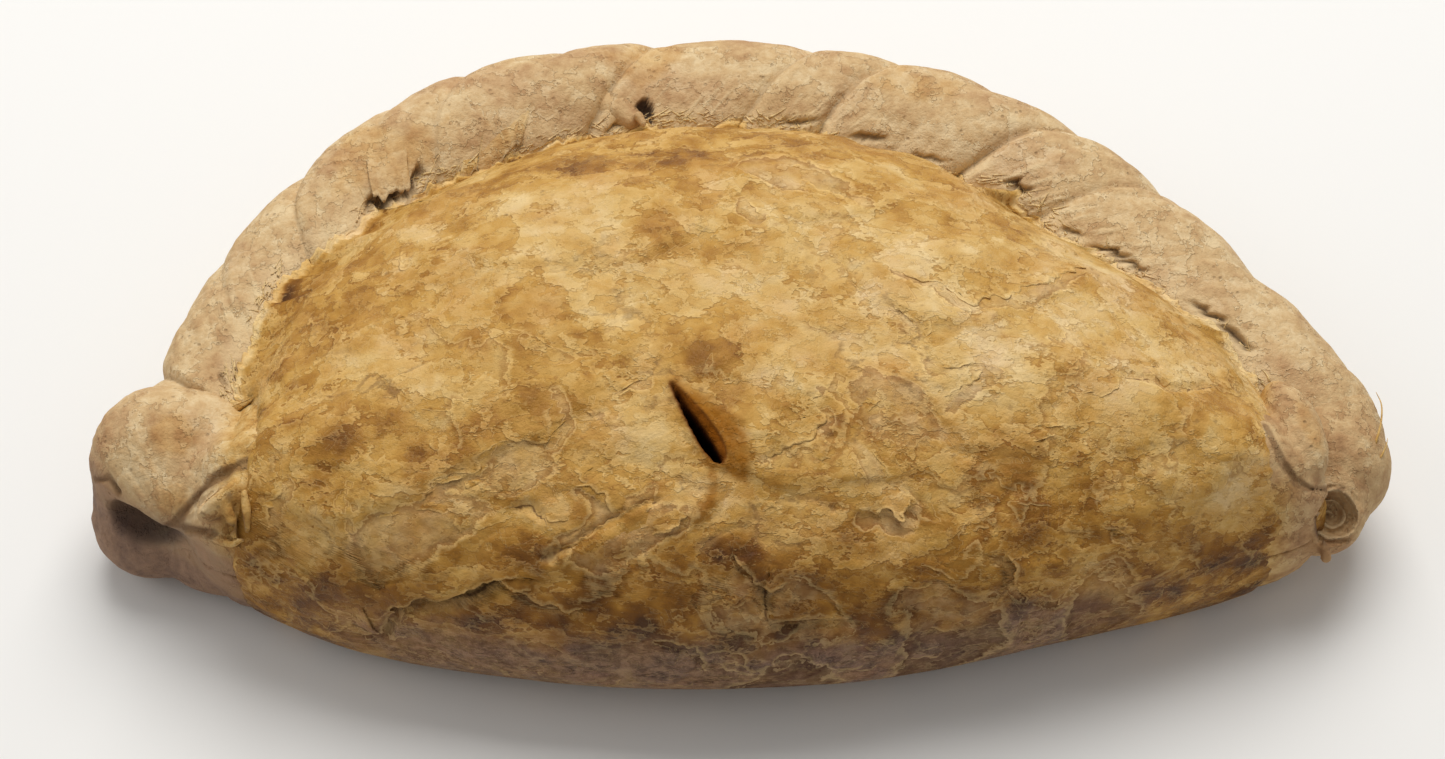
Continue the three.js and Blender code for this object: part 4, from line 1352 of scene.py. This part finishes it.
# Amber places, glaze that ran on to the dough, and painted shade that turns the lump under the knob a dark
# greyish brown
amber_ragged = varied(tree, mark_value(tree, "amber"), grain(tree, place, 330, 3, 0.6), 0.9)
amber_share = ease(tree, amber_ragged, 0.15, 0.75)
colour = tinted(tree, colour, amber_share, 0.75, multiplied(tree, colour, (0.90, 0.76, 0.54, 1)))
glazed_bake = varied(tree, calc(tree, "ADD", tone, 0.16), wrinkles, 0.5)
glazed_colour = group_outputs(tree, baked_group, {"Bake": glazed_bake})["Color"]
colour = tinted(tree, colour, mark_value(tree, "glazed"), 0.8, glazed_colour)
bruise_tone = calc(tree, "MULTIPLY_ADD", calc(tree, "SUBTRACT", wrinkles, 0.5), 1.2, blotches, True)
bruise_colour = mix(tree, bruise_tone, (0.125, 0.074, 0.058, 1), (0.44, 0.27, 0.165, 1))
colour = mix(tree, mark_value(tree, "bruise"), colour, bruise_colour)

# Painted shade in the pores and creases, pale threads, and painted shade in the gaps beside the seam and in
# the hollows
pores_here = ease(tree, grain(tree, place, 210, 2, 0.5), 0.48, 0.6)
pore = product(tree, round_pores(tree, place, 560.0, 0.24, 0.06), pores_here)
colour = tinted(tree, colour, pore, 0.45, crease_shade_colour)
crease_ragged = varied(tree, calc(tree, "ABSOLUTE", mark_value(tree, "crease")), wrinkles, 1.2)
crease_shade = product(tree, ease(tree, crease_ragged, 0.7, 0.1), mark_value(tree, "crease_shown"))
colour = tinted(tree, colour, crease_shade, 0.42, crease_shade_colour)
colour = tinted(tree, colour, mark_value(tree, "threads"), 0.7, (0.80, 0.63, 0.37, 1))
colour = tinted(tree, colour, mark_value(tree, "gape"), 0.75, (0.13, 0.065, 0.030, 1))
colour = tinted(tree, colour, mark_value(tree, "hollow"), 0.85, (0.055, 0.034, 0.032, 1))
tree.links.new(colour, shader.inputs["Base Color"])
shader.inputs["Roughness"].default_value = 0.72
shader.inputs["Specular IOR Level"].default_value = 0.2
height = product(tree, dough["Fine"], 0.15)
for relief, depth in [(wrinkles, 1.1), (skin["Upper"], 0.3), (pore, -0.3)]:
    height = calc(tree, "MULTIPLY_ADD", relief, depth, height)
bump = add_node(tree, "ShaderNodeBump", {"Strength": 0.8, "Distance": 0.0007, "Height": height})
tree.links.new(bump.outputs["Normal"], shader.inputs["Normal"])

crimp = add_piece("crimp", crimp_points, crimp_triangles, crimp_marks, crimp_material)
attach(crimp, "root")
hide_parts("pasty")


# The crimp's two ends. At the left the last of the rope is a round knob: its corner hangs over a hollow,
# its hem is creased where it was pressed to the body, and a lump of dough runs on under it to the tray.
# At the right the rope curls in to a small rolled hollow. Each is one lump of dough, grown from ovals and
# bars that run softly into each other, and meshed where the distance to it is 0.
dough_step = 0.34  # of the grid that they are meshed on
end_boxes = [((-104, -38.5, -0.6), (-68, 2, 38)), ((80, -36, 2), (109, 0, 35)), ((-24, 42, 22), (-8, 56, 34))]
knob_fan = (-86.2, -30.5, 23)  # the knob's streaks fan out from here
tip_hollow = (95.8, -26.8, 20.4)


def blended(a, b, width):
    """The nearer of two distances, with a soft fillet of about this width where they meet."""
    share = np.clip(0.5 + 0.5 * (b - a) / width, 0, 1)
    return b + (a - b) * share - width * share * (1 - share)


def cut_from(a, b, width):
    """Distance a without what lies inside b."""
    return -blended(-a, b, width)


def oval(p, at, radii, turn=0):
    """About how far outside an oval ball, turned about the upright axis, the points lie."""
    c, s = math.cos(math.radians(turn)), math.sin(math.radians(turn))
    east, north, up = np.moveaxis(p - at, -1, 0)
    q = side_by_side(east * c + north * s, north * c - east * s, up) / radii
    size = length_of(q)
    return size * (size - 1) / np.maximum(length_of(q / radii), 1e-6)


def bar(p, path, thicknesses):
    """Distance outside a bar with round ends along a path, with its thickness at each point of the path."""
    nearest = np.full(p.shape[:-1], 99.0)
    for n in range(len(path) - 1):
        start = np.array(path[n], float)
        run = np.array(path[n + 1], float) - start
        share = np.clip((p - start) @ run / (run @ run), 0, 1)
        thickness = thicknesses[n] + (thicknesses[n + 1] - thicknesses[n]) * share
        nearest = np.minimum(nearest, length_of(p - start - share[..., None] * run) - thickness)
    return nearest


def above_body(p):
    """About how far outside the smooth body the points of a grid lie."""
    x, y = p[..., 0] - body_centre[0], p[..., 1] - body_centre[1]
    radius = rim_radius(np.arctan2(y, x))
    reach = np.hypot(x, y)
    low = p[..., 2] < belly_widest
    wide = np.where(low, np.maximum(reach - radius + tray_inset, 0) / tray_inset, reach / radius)
    tall = np.abs(p[..., 2] - belly_widest) / np.where(low, belly_widest, body_height - belly_widest)
    value = (wide**dome_fullness + tall**dome_fullness) ** (1 / dome_fullness) - 1
    slope = length_of(np.stack(np.gradient(value, dough_step), -1))
    return value / np.maximum(slope, 0.01)


def over_patch(p, x, y, half_length, half_width, turn):
    return in_patch(p.reshape(-1, 3), x, y, half_length, half_width, turn).reshape(p.shape[:-1])


# The knob's creases and the hems between them: the path of each, and how thick it is at each point
knob_creases = [
    ([(-86.6, -28.6, 21), (-84.8, -28.5, 22.6), (-83.4, -27.9, 24.2), (-81.6, -27.3, 26.7),
      (-79.9, -27.0, 28.9), (-78.5, -26.5, 30.6), (-76.3, -26.0, 32.0), (-74.7, -25.6, 33.1),
      (-73.0, -25.4, 34.2)], [0.4, 0.45, 0.5, 0.5, 0.5, 0.85, 0.95, 0.4, 0.75]),
    ([(-99.2, -19.5, 20.2), (-95.9, -21.5, 24.0), (-94.3, -23.4, 23.0)], [0.2, 0.35, 0.5]),
    ([(-85.6, -28.9, 21.6), (-83.5, -29.6, 21.8), (-80.6, -31.4, 24.2), (-78.4, -33.4, 26.4)],
     [0.5, 0.6, 0.6, 0.5]),
    ([(-74.9, -31.0, 33.2), (-73.6, -33.6, 31.4), (-72.9, -35.2, 28.6)], [0.5, 0.6, 0.4]),
    ([(-77.4, -33.2, 29.0), (-75.2, -34.0, 29.2)], [0.8, 0.7]),
]
knob_hems = [
    ([(-76.2, -31.4, 31.6), (-75.0, -33.2, 30.0), (-74.6, -34.8, 28.4)], [0.7, 0.8, 0.4]),
    ([(-79.6, -32.6, 25.4), (-77.2, -34.4, 26.0), (-74.8, -35.6, 27.0), (-73.2, -35.6, 28.2)],
     [0.5, 0.7, 0.6, 0.4]),
    ([(-72.8, -30.4, 33.4), (-72.4, -32.8, 32.0), (-72.4, -34.8, 29.8)], [0.4, 0.7, 0.5]),
    ([(-83.6, -29.4, 20.6), (-81.6, -31.0, 21.6), (-79.8, -32.8, 23.6)], [0.5, 0.6, 0.5]),
]


def knob_shape(p):
    """Distance outside the knob with its leaf of pinched dough, and the lump under it."""
    body = above_body(p)
    ragged = 0.9 * rough(p, 4, 3, 0.6, 131)
    dome = oval(p, (-88.6, -14.4, 18.5), (12.0, 11.4, 11.8))
    dome = blended(dome, oval(p, (-82.5, -14.0, 20.5), (8.2, 9.0, 9.4)), 3)
    dome = blended(dome, oval(p, (-85.6, -22.2, 21.0), (6.0, 6.4, 5.4), 10), 5)
    lump = oval(p, (-91.3, -19.6, 9), (10.2, 9.6, 9.6))
    lump = blended(lump, oval(p, (-81, -24.5, 9), (10, 7.5, 8.6), -16), 2)
    hollow = oval(p, (-91.5, -26.3, 18.3), (6.0, 5.2, 3.2), -28)
    below_hem = bar(p, [(-87.5, -28.5, 17.5), (-84, -29.8, 17.8), (-80, -30.5, 18.5)], [2.0, 1.5, 0.7])
    knob = cut_from(blended(dome, lump, 4), blended(hollow, below_hem, 1), 1.2)
    flap = body + 3.2 - 4.6 * over_patch(p, -79.0, -19.5, 6.6, 8.5, -8)
    knob = blended(knob, flap, 4)
    beside = body + 2.6 - 3.0 * over_patch(p, -76.0, -17.5, 6.0, 13, 4) - 0.5 * ragged
    below = body + 2.8 - 3.2 * over_patch(p, -78.0, -31, 9, 9, -30) - 0.5 * ragged
    knob = np.minimum(knob, np.minimum(beside, below))
    leaf = oval(p, (-76.4, -29.9, 30.6), (4.9, 1.9, 2.9), 42)
    leaf = cut_from(leaf, oval(p, (-77.0, -29.2, 32.0), (4.0, 0.8, 1.9), 43), 0.4)
    knob = blended(knob, leaf, 0.5)
    for path, thicknesses in knob_hems:
        knob = blended(knob, bar(p + 0.5 * ragged[..., None], path, thicknesses), 0.7)
    for path, thicknesses in knob_creases:
        knob = cut_from(knob, bar(p + 0.35 * ragged[..., None], path, thicknesses), 0.35)
    return np.maximum(knob, -p[..., 2])


# The crease that runs down beside the right end's lobe and turns over the hollow
tip_crease = [
    (83.7, -18.6, 34.3), (84.6, -21.9, 34.2), (85.6, -23.9, 33.2), (86.7, -25.0, 32.0),
    (88.1, -26.2, 30.0), (90.6, -26.3, 28.2), (93.8, -24.6, 25.2), (97.2, -22.6, 22.1),
]
tip_crease_width = [0.1, 0.2, 0.35, 0.4, 0.35, 0.2, 0.15, 0.1]


def tip_spiral(p):
    """The turns of the rolled dough in the right end's hollow, from -1 to 1."""
    across, up = p[..., 0] - tip_hollow[0], 0.8 * (p[..., 1] - tip_hollow[1]) + 0.6 * (p[..., 2] - 20.2)
    wander = 1.8 * rough(p, 4, 3, 0.6, 132)
    return np.sin(2 * math.pi * np.hypot(across, up) / 1.7 - 1.3 * np.arctan2(up, across) + wander)


def tip_shape(p):
    """Distance outside the curled tip with its lobe, its crease and the rolled hollow."""
    body = above_body(p)
    ragged = 0.9 * rough(p, 4, 3, 0.6, 132)
    end = bar(p, [(96.6, -7.5, 16.2), (96.9, -13.7, 15.2), (94.8, -22.5, 15.5)], [9.3, 10.2, 7.2])
    lobe = bar(p, [(91, -3.3, 18.8), (95, -13.7, 19.2)], [5.0, 6.1])
    tip = blended(end, lobe, 1.5)
    skin = body + 2.6 - 3.1 * over_patch(p, 88.5, -20.5, 11, 16, 14) - 0.5 * ragged
    tip = blended(tip, skin, 0.3)
    tip = blended(tip, oval(p, (89.4, -15.5, 27.8), (4.4, 9.5, 5.4), 16), 0.8)
    hollow = oval(p, tip_hollow, (4.5, 4.7, 4.5)) + 0.5 * tip_spiral(p)
    tip = cut_from(tip, hollow, 0.5)
    tip = cut_from(tip, bar(p, [(93.4, -27.5, 19.5), (93.9, -29.2, 17.6)], [1.6, 1.3]), 0.4)
    wall_path = [(91.8, -24.6, 25.4), (91.7, -27.5, 22.8), (92.6, -30.0, 18.8)]
    wall = bar(p + 0.3 * ragged[..., None], wall_path, [0.5, 0.55, 0.5])
    tooth = bar(p, [(94.9, -30.6, 14.8), (94.2, -28.8, 17.6)], [1.0, 0.15])
    tip = blended(blended(tip, wall, 0.6), tooth, 0.6)
    return cut_from(tip, bar(p + 0.3 * ragged[..., None], tip_crease, tip_crease_width), 0.5)


def tongue_shape(p):
    """The rolled end of the fold that lies over the hole."""
    roll = bar(p, [(-20.5, 53.0, 26.0), (-17.2, 50.6, 27.2), (-15.4, 48.4, 27.6)], [2.6, 2.7, 2.0])
    roll = cut_from(roll, bar(p, [(-13.6, 50.5, 30.4), (-14.0, 47.6, 31.0)], [0.7, 0.5]), 0.4)
    return blended(roll, bar(p, [(-14.2, 47.2, 29.9), (-13.4, 45.8, 29.4)], [0.9, 0.5]), 0.4)


def mesh_where_inside(shape, low, high):
    """Meshes where a shape's distance is below 0: a point in each cell of a grid that its surface crosses,
    and two triangles across each side of the grid that it crosses.
    """
    grid = np.stack(np.meshgrid(*(np.arange(a, b, dough_step) for a, b in zip(low, high)), indexing="ij"), -1)
    depth = shape(grid)
    inside = depth < 0
    cell_counts = np.array(depth.shape) - 1
    corner_steps = [(i, j, k) for i in (0, 1) for j in (0, 1) for k in (0, 1)]

    def at_corner(values, step):
        i, j, k = step
        return values[i:i + cell_counts[0], j:j + cell_counts[1], k:k + cell_counts[2]]

    full = sum(at_corner(inside, step).astype(int) for step in corner_steps)
    crossed = np.argwhere((full > 0) & (full < 8))
    number = np.full(cell_counts, -1)
    number[tuple(crossed.T)] = np.arange(len(crossed))
    total, found = np.zeros((len(crossed), 3)), np.zeros(len(crossed))
    for start in corner_steps:
        for axis in range(3):
            if start[axis]:
                continue
            way = np.eye(3, dtype=int)[axis]
            first = depth[tuple((crossed + start).T)]
            second = depth[tuple((crossed + start + way).T)]
            crosses = (first < 0) != (second < 0)
            share = np.where(crosses, first / np.where(crosses, first - second, 1), 0)
            total += crosses[:, None] * (np.array(start) + share[:, None] * way)
            found += crosses
    points = low + (crossed + total / found[:, None]) * dough_step
    triangles = []
    for axis in range(3):
        second, third = (axis + 1) % 3, (axis + 2) % 3
        way = np.eye(3, dtype=int)
        start = np.argwhere(np.diff(inside, axis=axis))
        start = start[(start[:, second] > 0) & (start[:, third] > 0)]
        start = start[(start[:, second] < cell_counts[second]) & (start[:, third] < cell_counts[third])]
        shifts = (way[second] + way[third], way[third], 0 * way[0], way[second])
        quad = np.stack([number[tuple((start - shift).T)] for shift in shifts], -1)
        leaving = inside[tuple(start.T)]
        quad = np.where(leaving[:, None], quad, quad[:, ::-1])
        triangles += [quad[:, [0, 1, 2]], quad[:, [0, 2, 3]]]
    return points, np.vstack(triangles)


def outward_ways(points, triangles):
    """The way out of a mesh at each of its points."""
    a, b, c = (points[triangles[:, n]] for n in range(3))
    facing = np.cross(b - a, c - a)
    ways = np.zeros_like(points)
    for n in range(3):
        np.add.at(ways, triangles[:, n], facing)
    return unit(ways)


end_parts = []
for shape, (low, high) in zip((knob_shape, tip_shape, tongue_shape), end_boxes):
    points, triangles = mesh_where_inside(shape, np.array(low, float), high)
    ways = outward_ways(points, triangles)
    from_fan = points - knob_fan
    fan_right, fan_up = from_fan[:, 0], 0.8 * from_fan[:, 1] + 0.6 * from_fan[:, 2]
    fan_angle = np.arctan2(fan_up, fan_right)
    fan_reach = np.hypot(fan_right, fan_up)
    fan = side_by_side(fan_angle * 7, fan_reach / 9, 4.4)
    on_dome = (shape is knob_shape) * smooth(ways[:, 2], 0.0, 0.4) * smooth(fan_reach, 1.5, 5)
    on_dome = on_dome * smooth(points[:, 0], -75, -78)
    streaks = (noise(fan) + 0.6 * noise(fan * 2.3 + 5)) * on_dome
    lift = 0.22 * streaks + 0.38 * rough(points, 7, 3, 0.5, 121) + 0.16 * rough(points, 2.2, 3, 0.55, 122)
    flat = np.zeros(len(points))
    hollow, bruise, amber, threads = flat, flat, flat, flat
    crease = flat + far_away
    bake = 0.2 + 0.1 * rough(points, 9, 3, 0.5, 123) + 0.12 * streaks
    if shape is knob_shape:
        for path, thicknesses in knob_creases:
            crease = np.minimum(crease, np.maximum(bar(points, path, thicknesses), 0))
        # Painted shade in the hollow under the knob's corner
        hollow = 0.9 * smooth(-oval(points, (-91.0, -26.6, 18.0), (7.2, 6.2, 4.4), -28), -0.6, 1.8)
        # Painted shade on the lump under the knob, and on low faces that turn to the front
        lump_edge = points[:, 2] + 0.35 * (points[:, 0] + 90) + 1.5 * rough(points, 6, 3, 0.5, 124)
        bruise = smooth(lump_edge, 20, 13) * smooth(points[:, 2], 27, 22)
        bruise = np.maximum(bruise, 0.75 * smooth(-ways[:, 1], -0.2, 0.5) * smooth(points[:, 2], 26, 20))
        from_top = length_of((points - (-85.7, -17.0, 29.5)) / (3.6, 3.4, 4.5))
        from_hem = length_of((points - (-85.5, -26.5, 24)) / (3.5, 3.0, 4))
        amber = np.maximum(1.3 * np.exp(-(from_top**2)), 0.9 * np.exp(-(from_hem**2)))
        bake = bake + 0.12 * smooth(points[:, 0], -92, -99) + 0.10 * smooth(points[:, 1], -29, -32)
        bake = bake - 0.08 * smooth(points[:, 0], -84, -79) * on_dome
    elif shape is tip_shape:
        # Painted shade in the rolled hollow, darker between its turns
        inside = smooth(-oval(points, tip_hollow, (4.7, 4.9, 4.7)), -0.3, 1.0)
        hollow = inside * (0.5 - 0.35 * tip_spiral(points))
        threads = 0.6 * inside * smooth(tip_spiral(points), 0.2, 0.8)
        amber = 0.6 * smooth(-oval(points, (90.5, -16.5, 29.5), (3.2, 6.5, 5), 16), -0.2, 1.2)
        bake = bake + 0.1
        crease = np.maximum(bar(points, tip_crease, tip_crease_width), 0)

    # The glaze ran on to the dough where it lies over the crust
    over_left = smooth(points[:, 0], -80, -75) * smooth(points[:, 0], 0, -1)
    over_right = smooth(points[:, 0], 90.5, 84) * smooth(points[:, 0], 0, 1) * smooth(points[:, 2], 32.5, 29)
    over_crust = (over_left + over_right) * (shape is not tongue_shape)
    marks = {"bake": bake, "crease": crease, "crease_shown": flat + 1.6, "threads": threads, "gape": flat}
    marks.update(amber=amber, bruise=bruise, hollow=hollow, glazed=over_crust * (1 - np.minimum(amber, 1)))
    end_parts.append((points + ways * lift[:, None] * (1 - 0.7 * hollow[:, None]), triangles, marks))

ends_points, ends_triangles, ends_marks = join_parts(end_parts)
ends_points[:, 2] = np.maximum(ends_points[:, 2], 0)
ends = add_piece("crimp_ends", ends_points, ends_triangles, ends_marks, crimp_material)
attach(ends, "root")
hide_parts("pasty")


# The seam, where the lid was folded up into the crimp: the glazed surface runs on over the groove to a
# frayed edge on the rope, with thin fibres of torn dough along it.
lip_width = 15  # from its torn edge to where it runs into the crust
lip_step = 0.4  # between points along the edge
lip_lines = 16  # points from the edge to the crust
lip_thickness = 0.2
fibre_count = 900  # how many are tried; about half find dough that is torn

lip_rows = np.arange(24, 270, lip_step)


def on_lip_line(values, pattern):
    """Noise at places along the seam."""
    return noise(side_by_side(values, 0.0, pattern))


frays = 0.7 * on_lip_line(lip_rows / 5.1, 1) + 0.3 * on_lip_line(lip_rows / 1.6, 2)
frays = frays + 0.4 * on_lip_line(lip_rows / 0.7, 3)
seam_turn = np.radians(from_table(seam_line, lip_rows))
lip_turn = seam_turn + frays / rope_radius
lip_start = crimp_surface(lip_rows, lip_turn)[0]
lip_ahead = unit(np.gradient(crimp_surface(lip_rows, seam_turn)[0], axis=0))
lip_into = unit(crimp_surface(lip_rows, lip_turn + 0.08)[0] - lip_start)
lip_out = unit(np.cross(lip_ahead, lip_into))
lip_out = lip_out * np.sign(lip_out[:, 2:])
lip_angle = np.arctan2(lip_start[:, 1] - body_centre[1], lip_start[:, 0] - body_centre[0])
tilts = np.radians(np.arange(15, 89))
profile = body_point(lip_angle[:, None], tilts[None, :] + 0 * lip_angle[:, None])
apart = length_of(profile - lip_start[:, None])
beyond = np.arange(len(tilts)) > np.argmin(apart, 1)[:, None]
lip_tilt = tilts[np.argmin(np.abs(apart - lip_width) + 99 * beyond, 1)]
spread = np.hanning(25)
lip_tilt = np.convolve(np.pad(lip_tilt, 12, "edge"), spread / spread.sum(), "valid")
lip_end, way_out, lip_marks = crust_surface(lip_angle, lip_tilt, -0.5, unbroken=True)
downhill = body_frame(lip_angle, lip_tilt)[3]
gap = length_of(lip_end - lip_start)[:, None]
edge_lift = 0.03 + 0.12 * smooth(on_lip_line(lip_rows / 4.3, 4), -0.2, 0.7)

# It leaves the rope at its edge, bridges the groove in a soft bend, and runs in under the crust
bends = np.stack([
    lip_start + lip_out * edge_lift[:, None],
    lip_start + lip_out * (edge_lift[:, None] + 0.5) + lip_into * 0.22 * gap,
    lip_end + downhill * 0.35 * gap + way_out * 1.0,
    lip_end,
])
back = np.linspace(0, 1, lip_lines) ** 1.3
weights = np.stack([(1 - back) ** 3, 3 * back * (1 - back) ** 2, 3 * back**2 * (1 - back), back**3])
lip_top = np.einsum("wl,wnc->nlc", weights, bends)
from_edge = back[None, :] * gap
lip_normal = unit(lip_out[:, None] * (1 - back[None, :, None]) + way_out[:, None] * back[None, :, None])
along = lip_rows[:, None] + 0 * from_edge
fibrous = noise(side_by_side(along / 3.5 + 0.4 * from_edge, from_edge / 0.6, 2.2))
torn_strip = smooth(from_edge, 3.6, 1.8)
lip_relief = 0.3 * rough(lip_top, 4.5, 3, 0.55, 141) + (0.08 + 0.3 * torn_strip) * fibrous
lip_relief = lip_relief - 3.0 * smooth(lip_rows, 261, 270)[:, None]
lip_top = lip_top + lip_normal * (lip_relief * (1 - back**4))[..., None]
lip_under = lip_top - lip_normal * (lip_thickness * (0.4 + 0.6 * back))[None, :, None]
lip_points, lip_triangles = closed_sheet(lip_top, lip_under)
lip_triangles = outward_facing(lip_points, lip_triangles)

# The lip baked like the crust, with an amber line behind its torn edge, which is paler
amber = np.exp(-(((from_edge - 4.2) / 1.6) ** 2)) * smooth(on_lip_line(lip_rows / 14, 5), -0.3, 0.3)[:, None]
lip_bake = lip_marks["bake"][:, None] * smooth(back, 0, 0.5) + 0.34 * smooth(back, 0.5, 0)
lip_bake = lip_bake + 0.22 * amber + 0.10 * fibrous - 0.22 * torn_strip
flat_marks = {"crack": far_away, "vent": -far_away}
lip_own = {mark: on_closed_sheet(flat_marks.get(mark, 0.0) + 0 * from_edge) for mark in lip_marks}
lip_own["bake"] = on_closed_sheet(lip_bake)
lip_own["tear"] = on_closed_sheet(from_edge / 3.2)

# Strands that stand off the right end
strands = [
    ([(103.2, -14.6, 23.2), (104.3, -11.4, 24.0), (104.8, -8.0, 24.3), (104.2, -5.6, 24.5)], 0.3),
    ([(104.0, -16.5, 22.0), (105.0, -14.6, 22.6), (105.3, -13.4, 23.0)], 0.25),
]

fibre_stations = 6  # points along a fibre

random = np.random.default_rng(11)
seam_parts = [(lip_points, lip_triangles, lip_own)]


def strand_part(middle, outward, thickness, bake):
    """A tapering strand of dough along a line of points."""
    run = np.linspace(0, 1, len(middle))
    aside = unit(np.cross(outward, unit(np.gradient(middle, axis=0))))
    around = np.radians([45, 135, 225, 315])
    ring = aside[:, None] * np.cos(around)[:, None] + outward[:, None] * np.sin(around)[:, None]
    ring = middle[:, None] + ring * (thickness * (1 - 0.85 * run))[:, None, None]
    points = np.vstack([middle[:1], ring.reshape(-1, 3), middle[-1:]])
    triangles = outward_facing(points, rings_to_triangles([len(around)] * len(middle)))
    flat = np.zeros(len(points))
    own = {mark: flat for mark in lip_own}
    own.update(bake=flat + bake, tear=flat + 0.6, crack=flat + far_away, vent=flat - far_away)
    return points, triangles, own


for strand, thickness in strands:
    middle = curve_through(strand, per_span=6)
    seam_parts.append(strand_part(middle, np.array([[1.0, 0, 0]]) + 0 * middle, thickness, 0.25))
for _ in range(fibre_count):
    row = random.uniform(26, 266)
    if on_lip_line(np.array([row / 9]), 6)[0] < random.uniform(-0.6, 0.5):
        continue
    length = 0.35 + 2.6 * random.random() ** 1.6
    heading = random.normal(0, 0.35) + (math.pi if random.random() < 0.5 else 0)
    run = np.linspace(0, length, fibre_stations)
    curl = random.normal(0, 0.25)
    rows_along = row + run * math.cos(heading)
    over_rope = -random.uniform(-0.6, 1.6) - run * abs(math.sin(heading)) - curl * run**2 / length
    turn_along = np.radians(from_table(seam_line, rows_along)) + over_rope / rope_radius
    middle = crimp_surface(rows_along, turn_along)[0]
    outward = unit(middle - crimp_centre(rows_along))
    middle = middle + outward * (0.06 + random.uniform(0, 0.2) * run / length)[:, None]
    seam_parts.append(strand_part(middle, outward, random.uniform(0.12, 0.26), -0.1))

lip_piece_points, lip_piece_triangles, lip_piece_marks = join_parts(seam_parts)
seam = add_piece("seam_lip", lip_piece_points, lip_piece_triangles, lip_piece_marks, crust_material)
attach(seam, "root")
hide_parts("pasty")
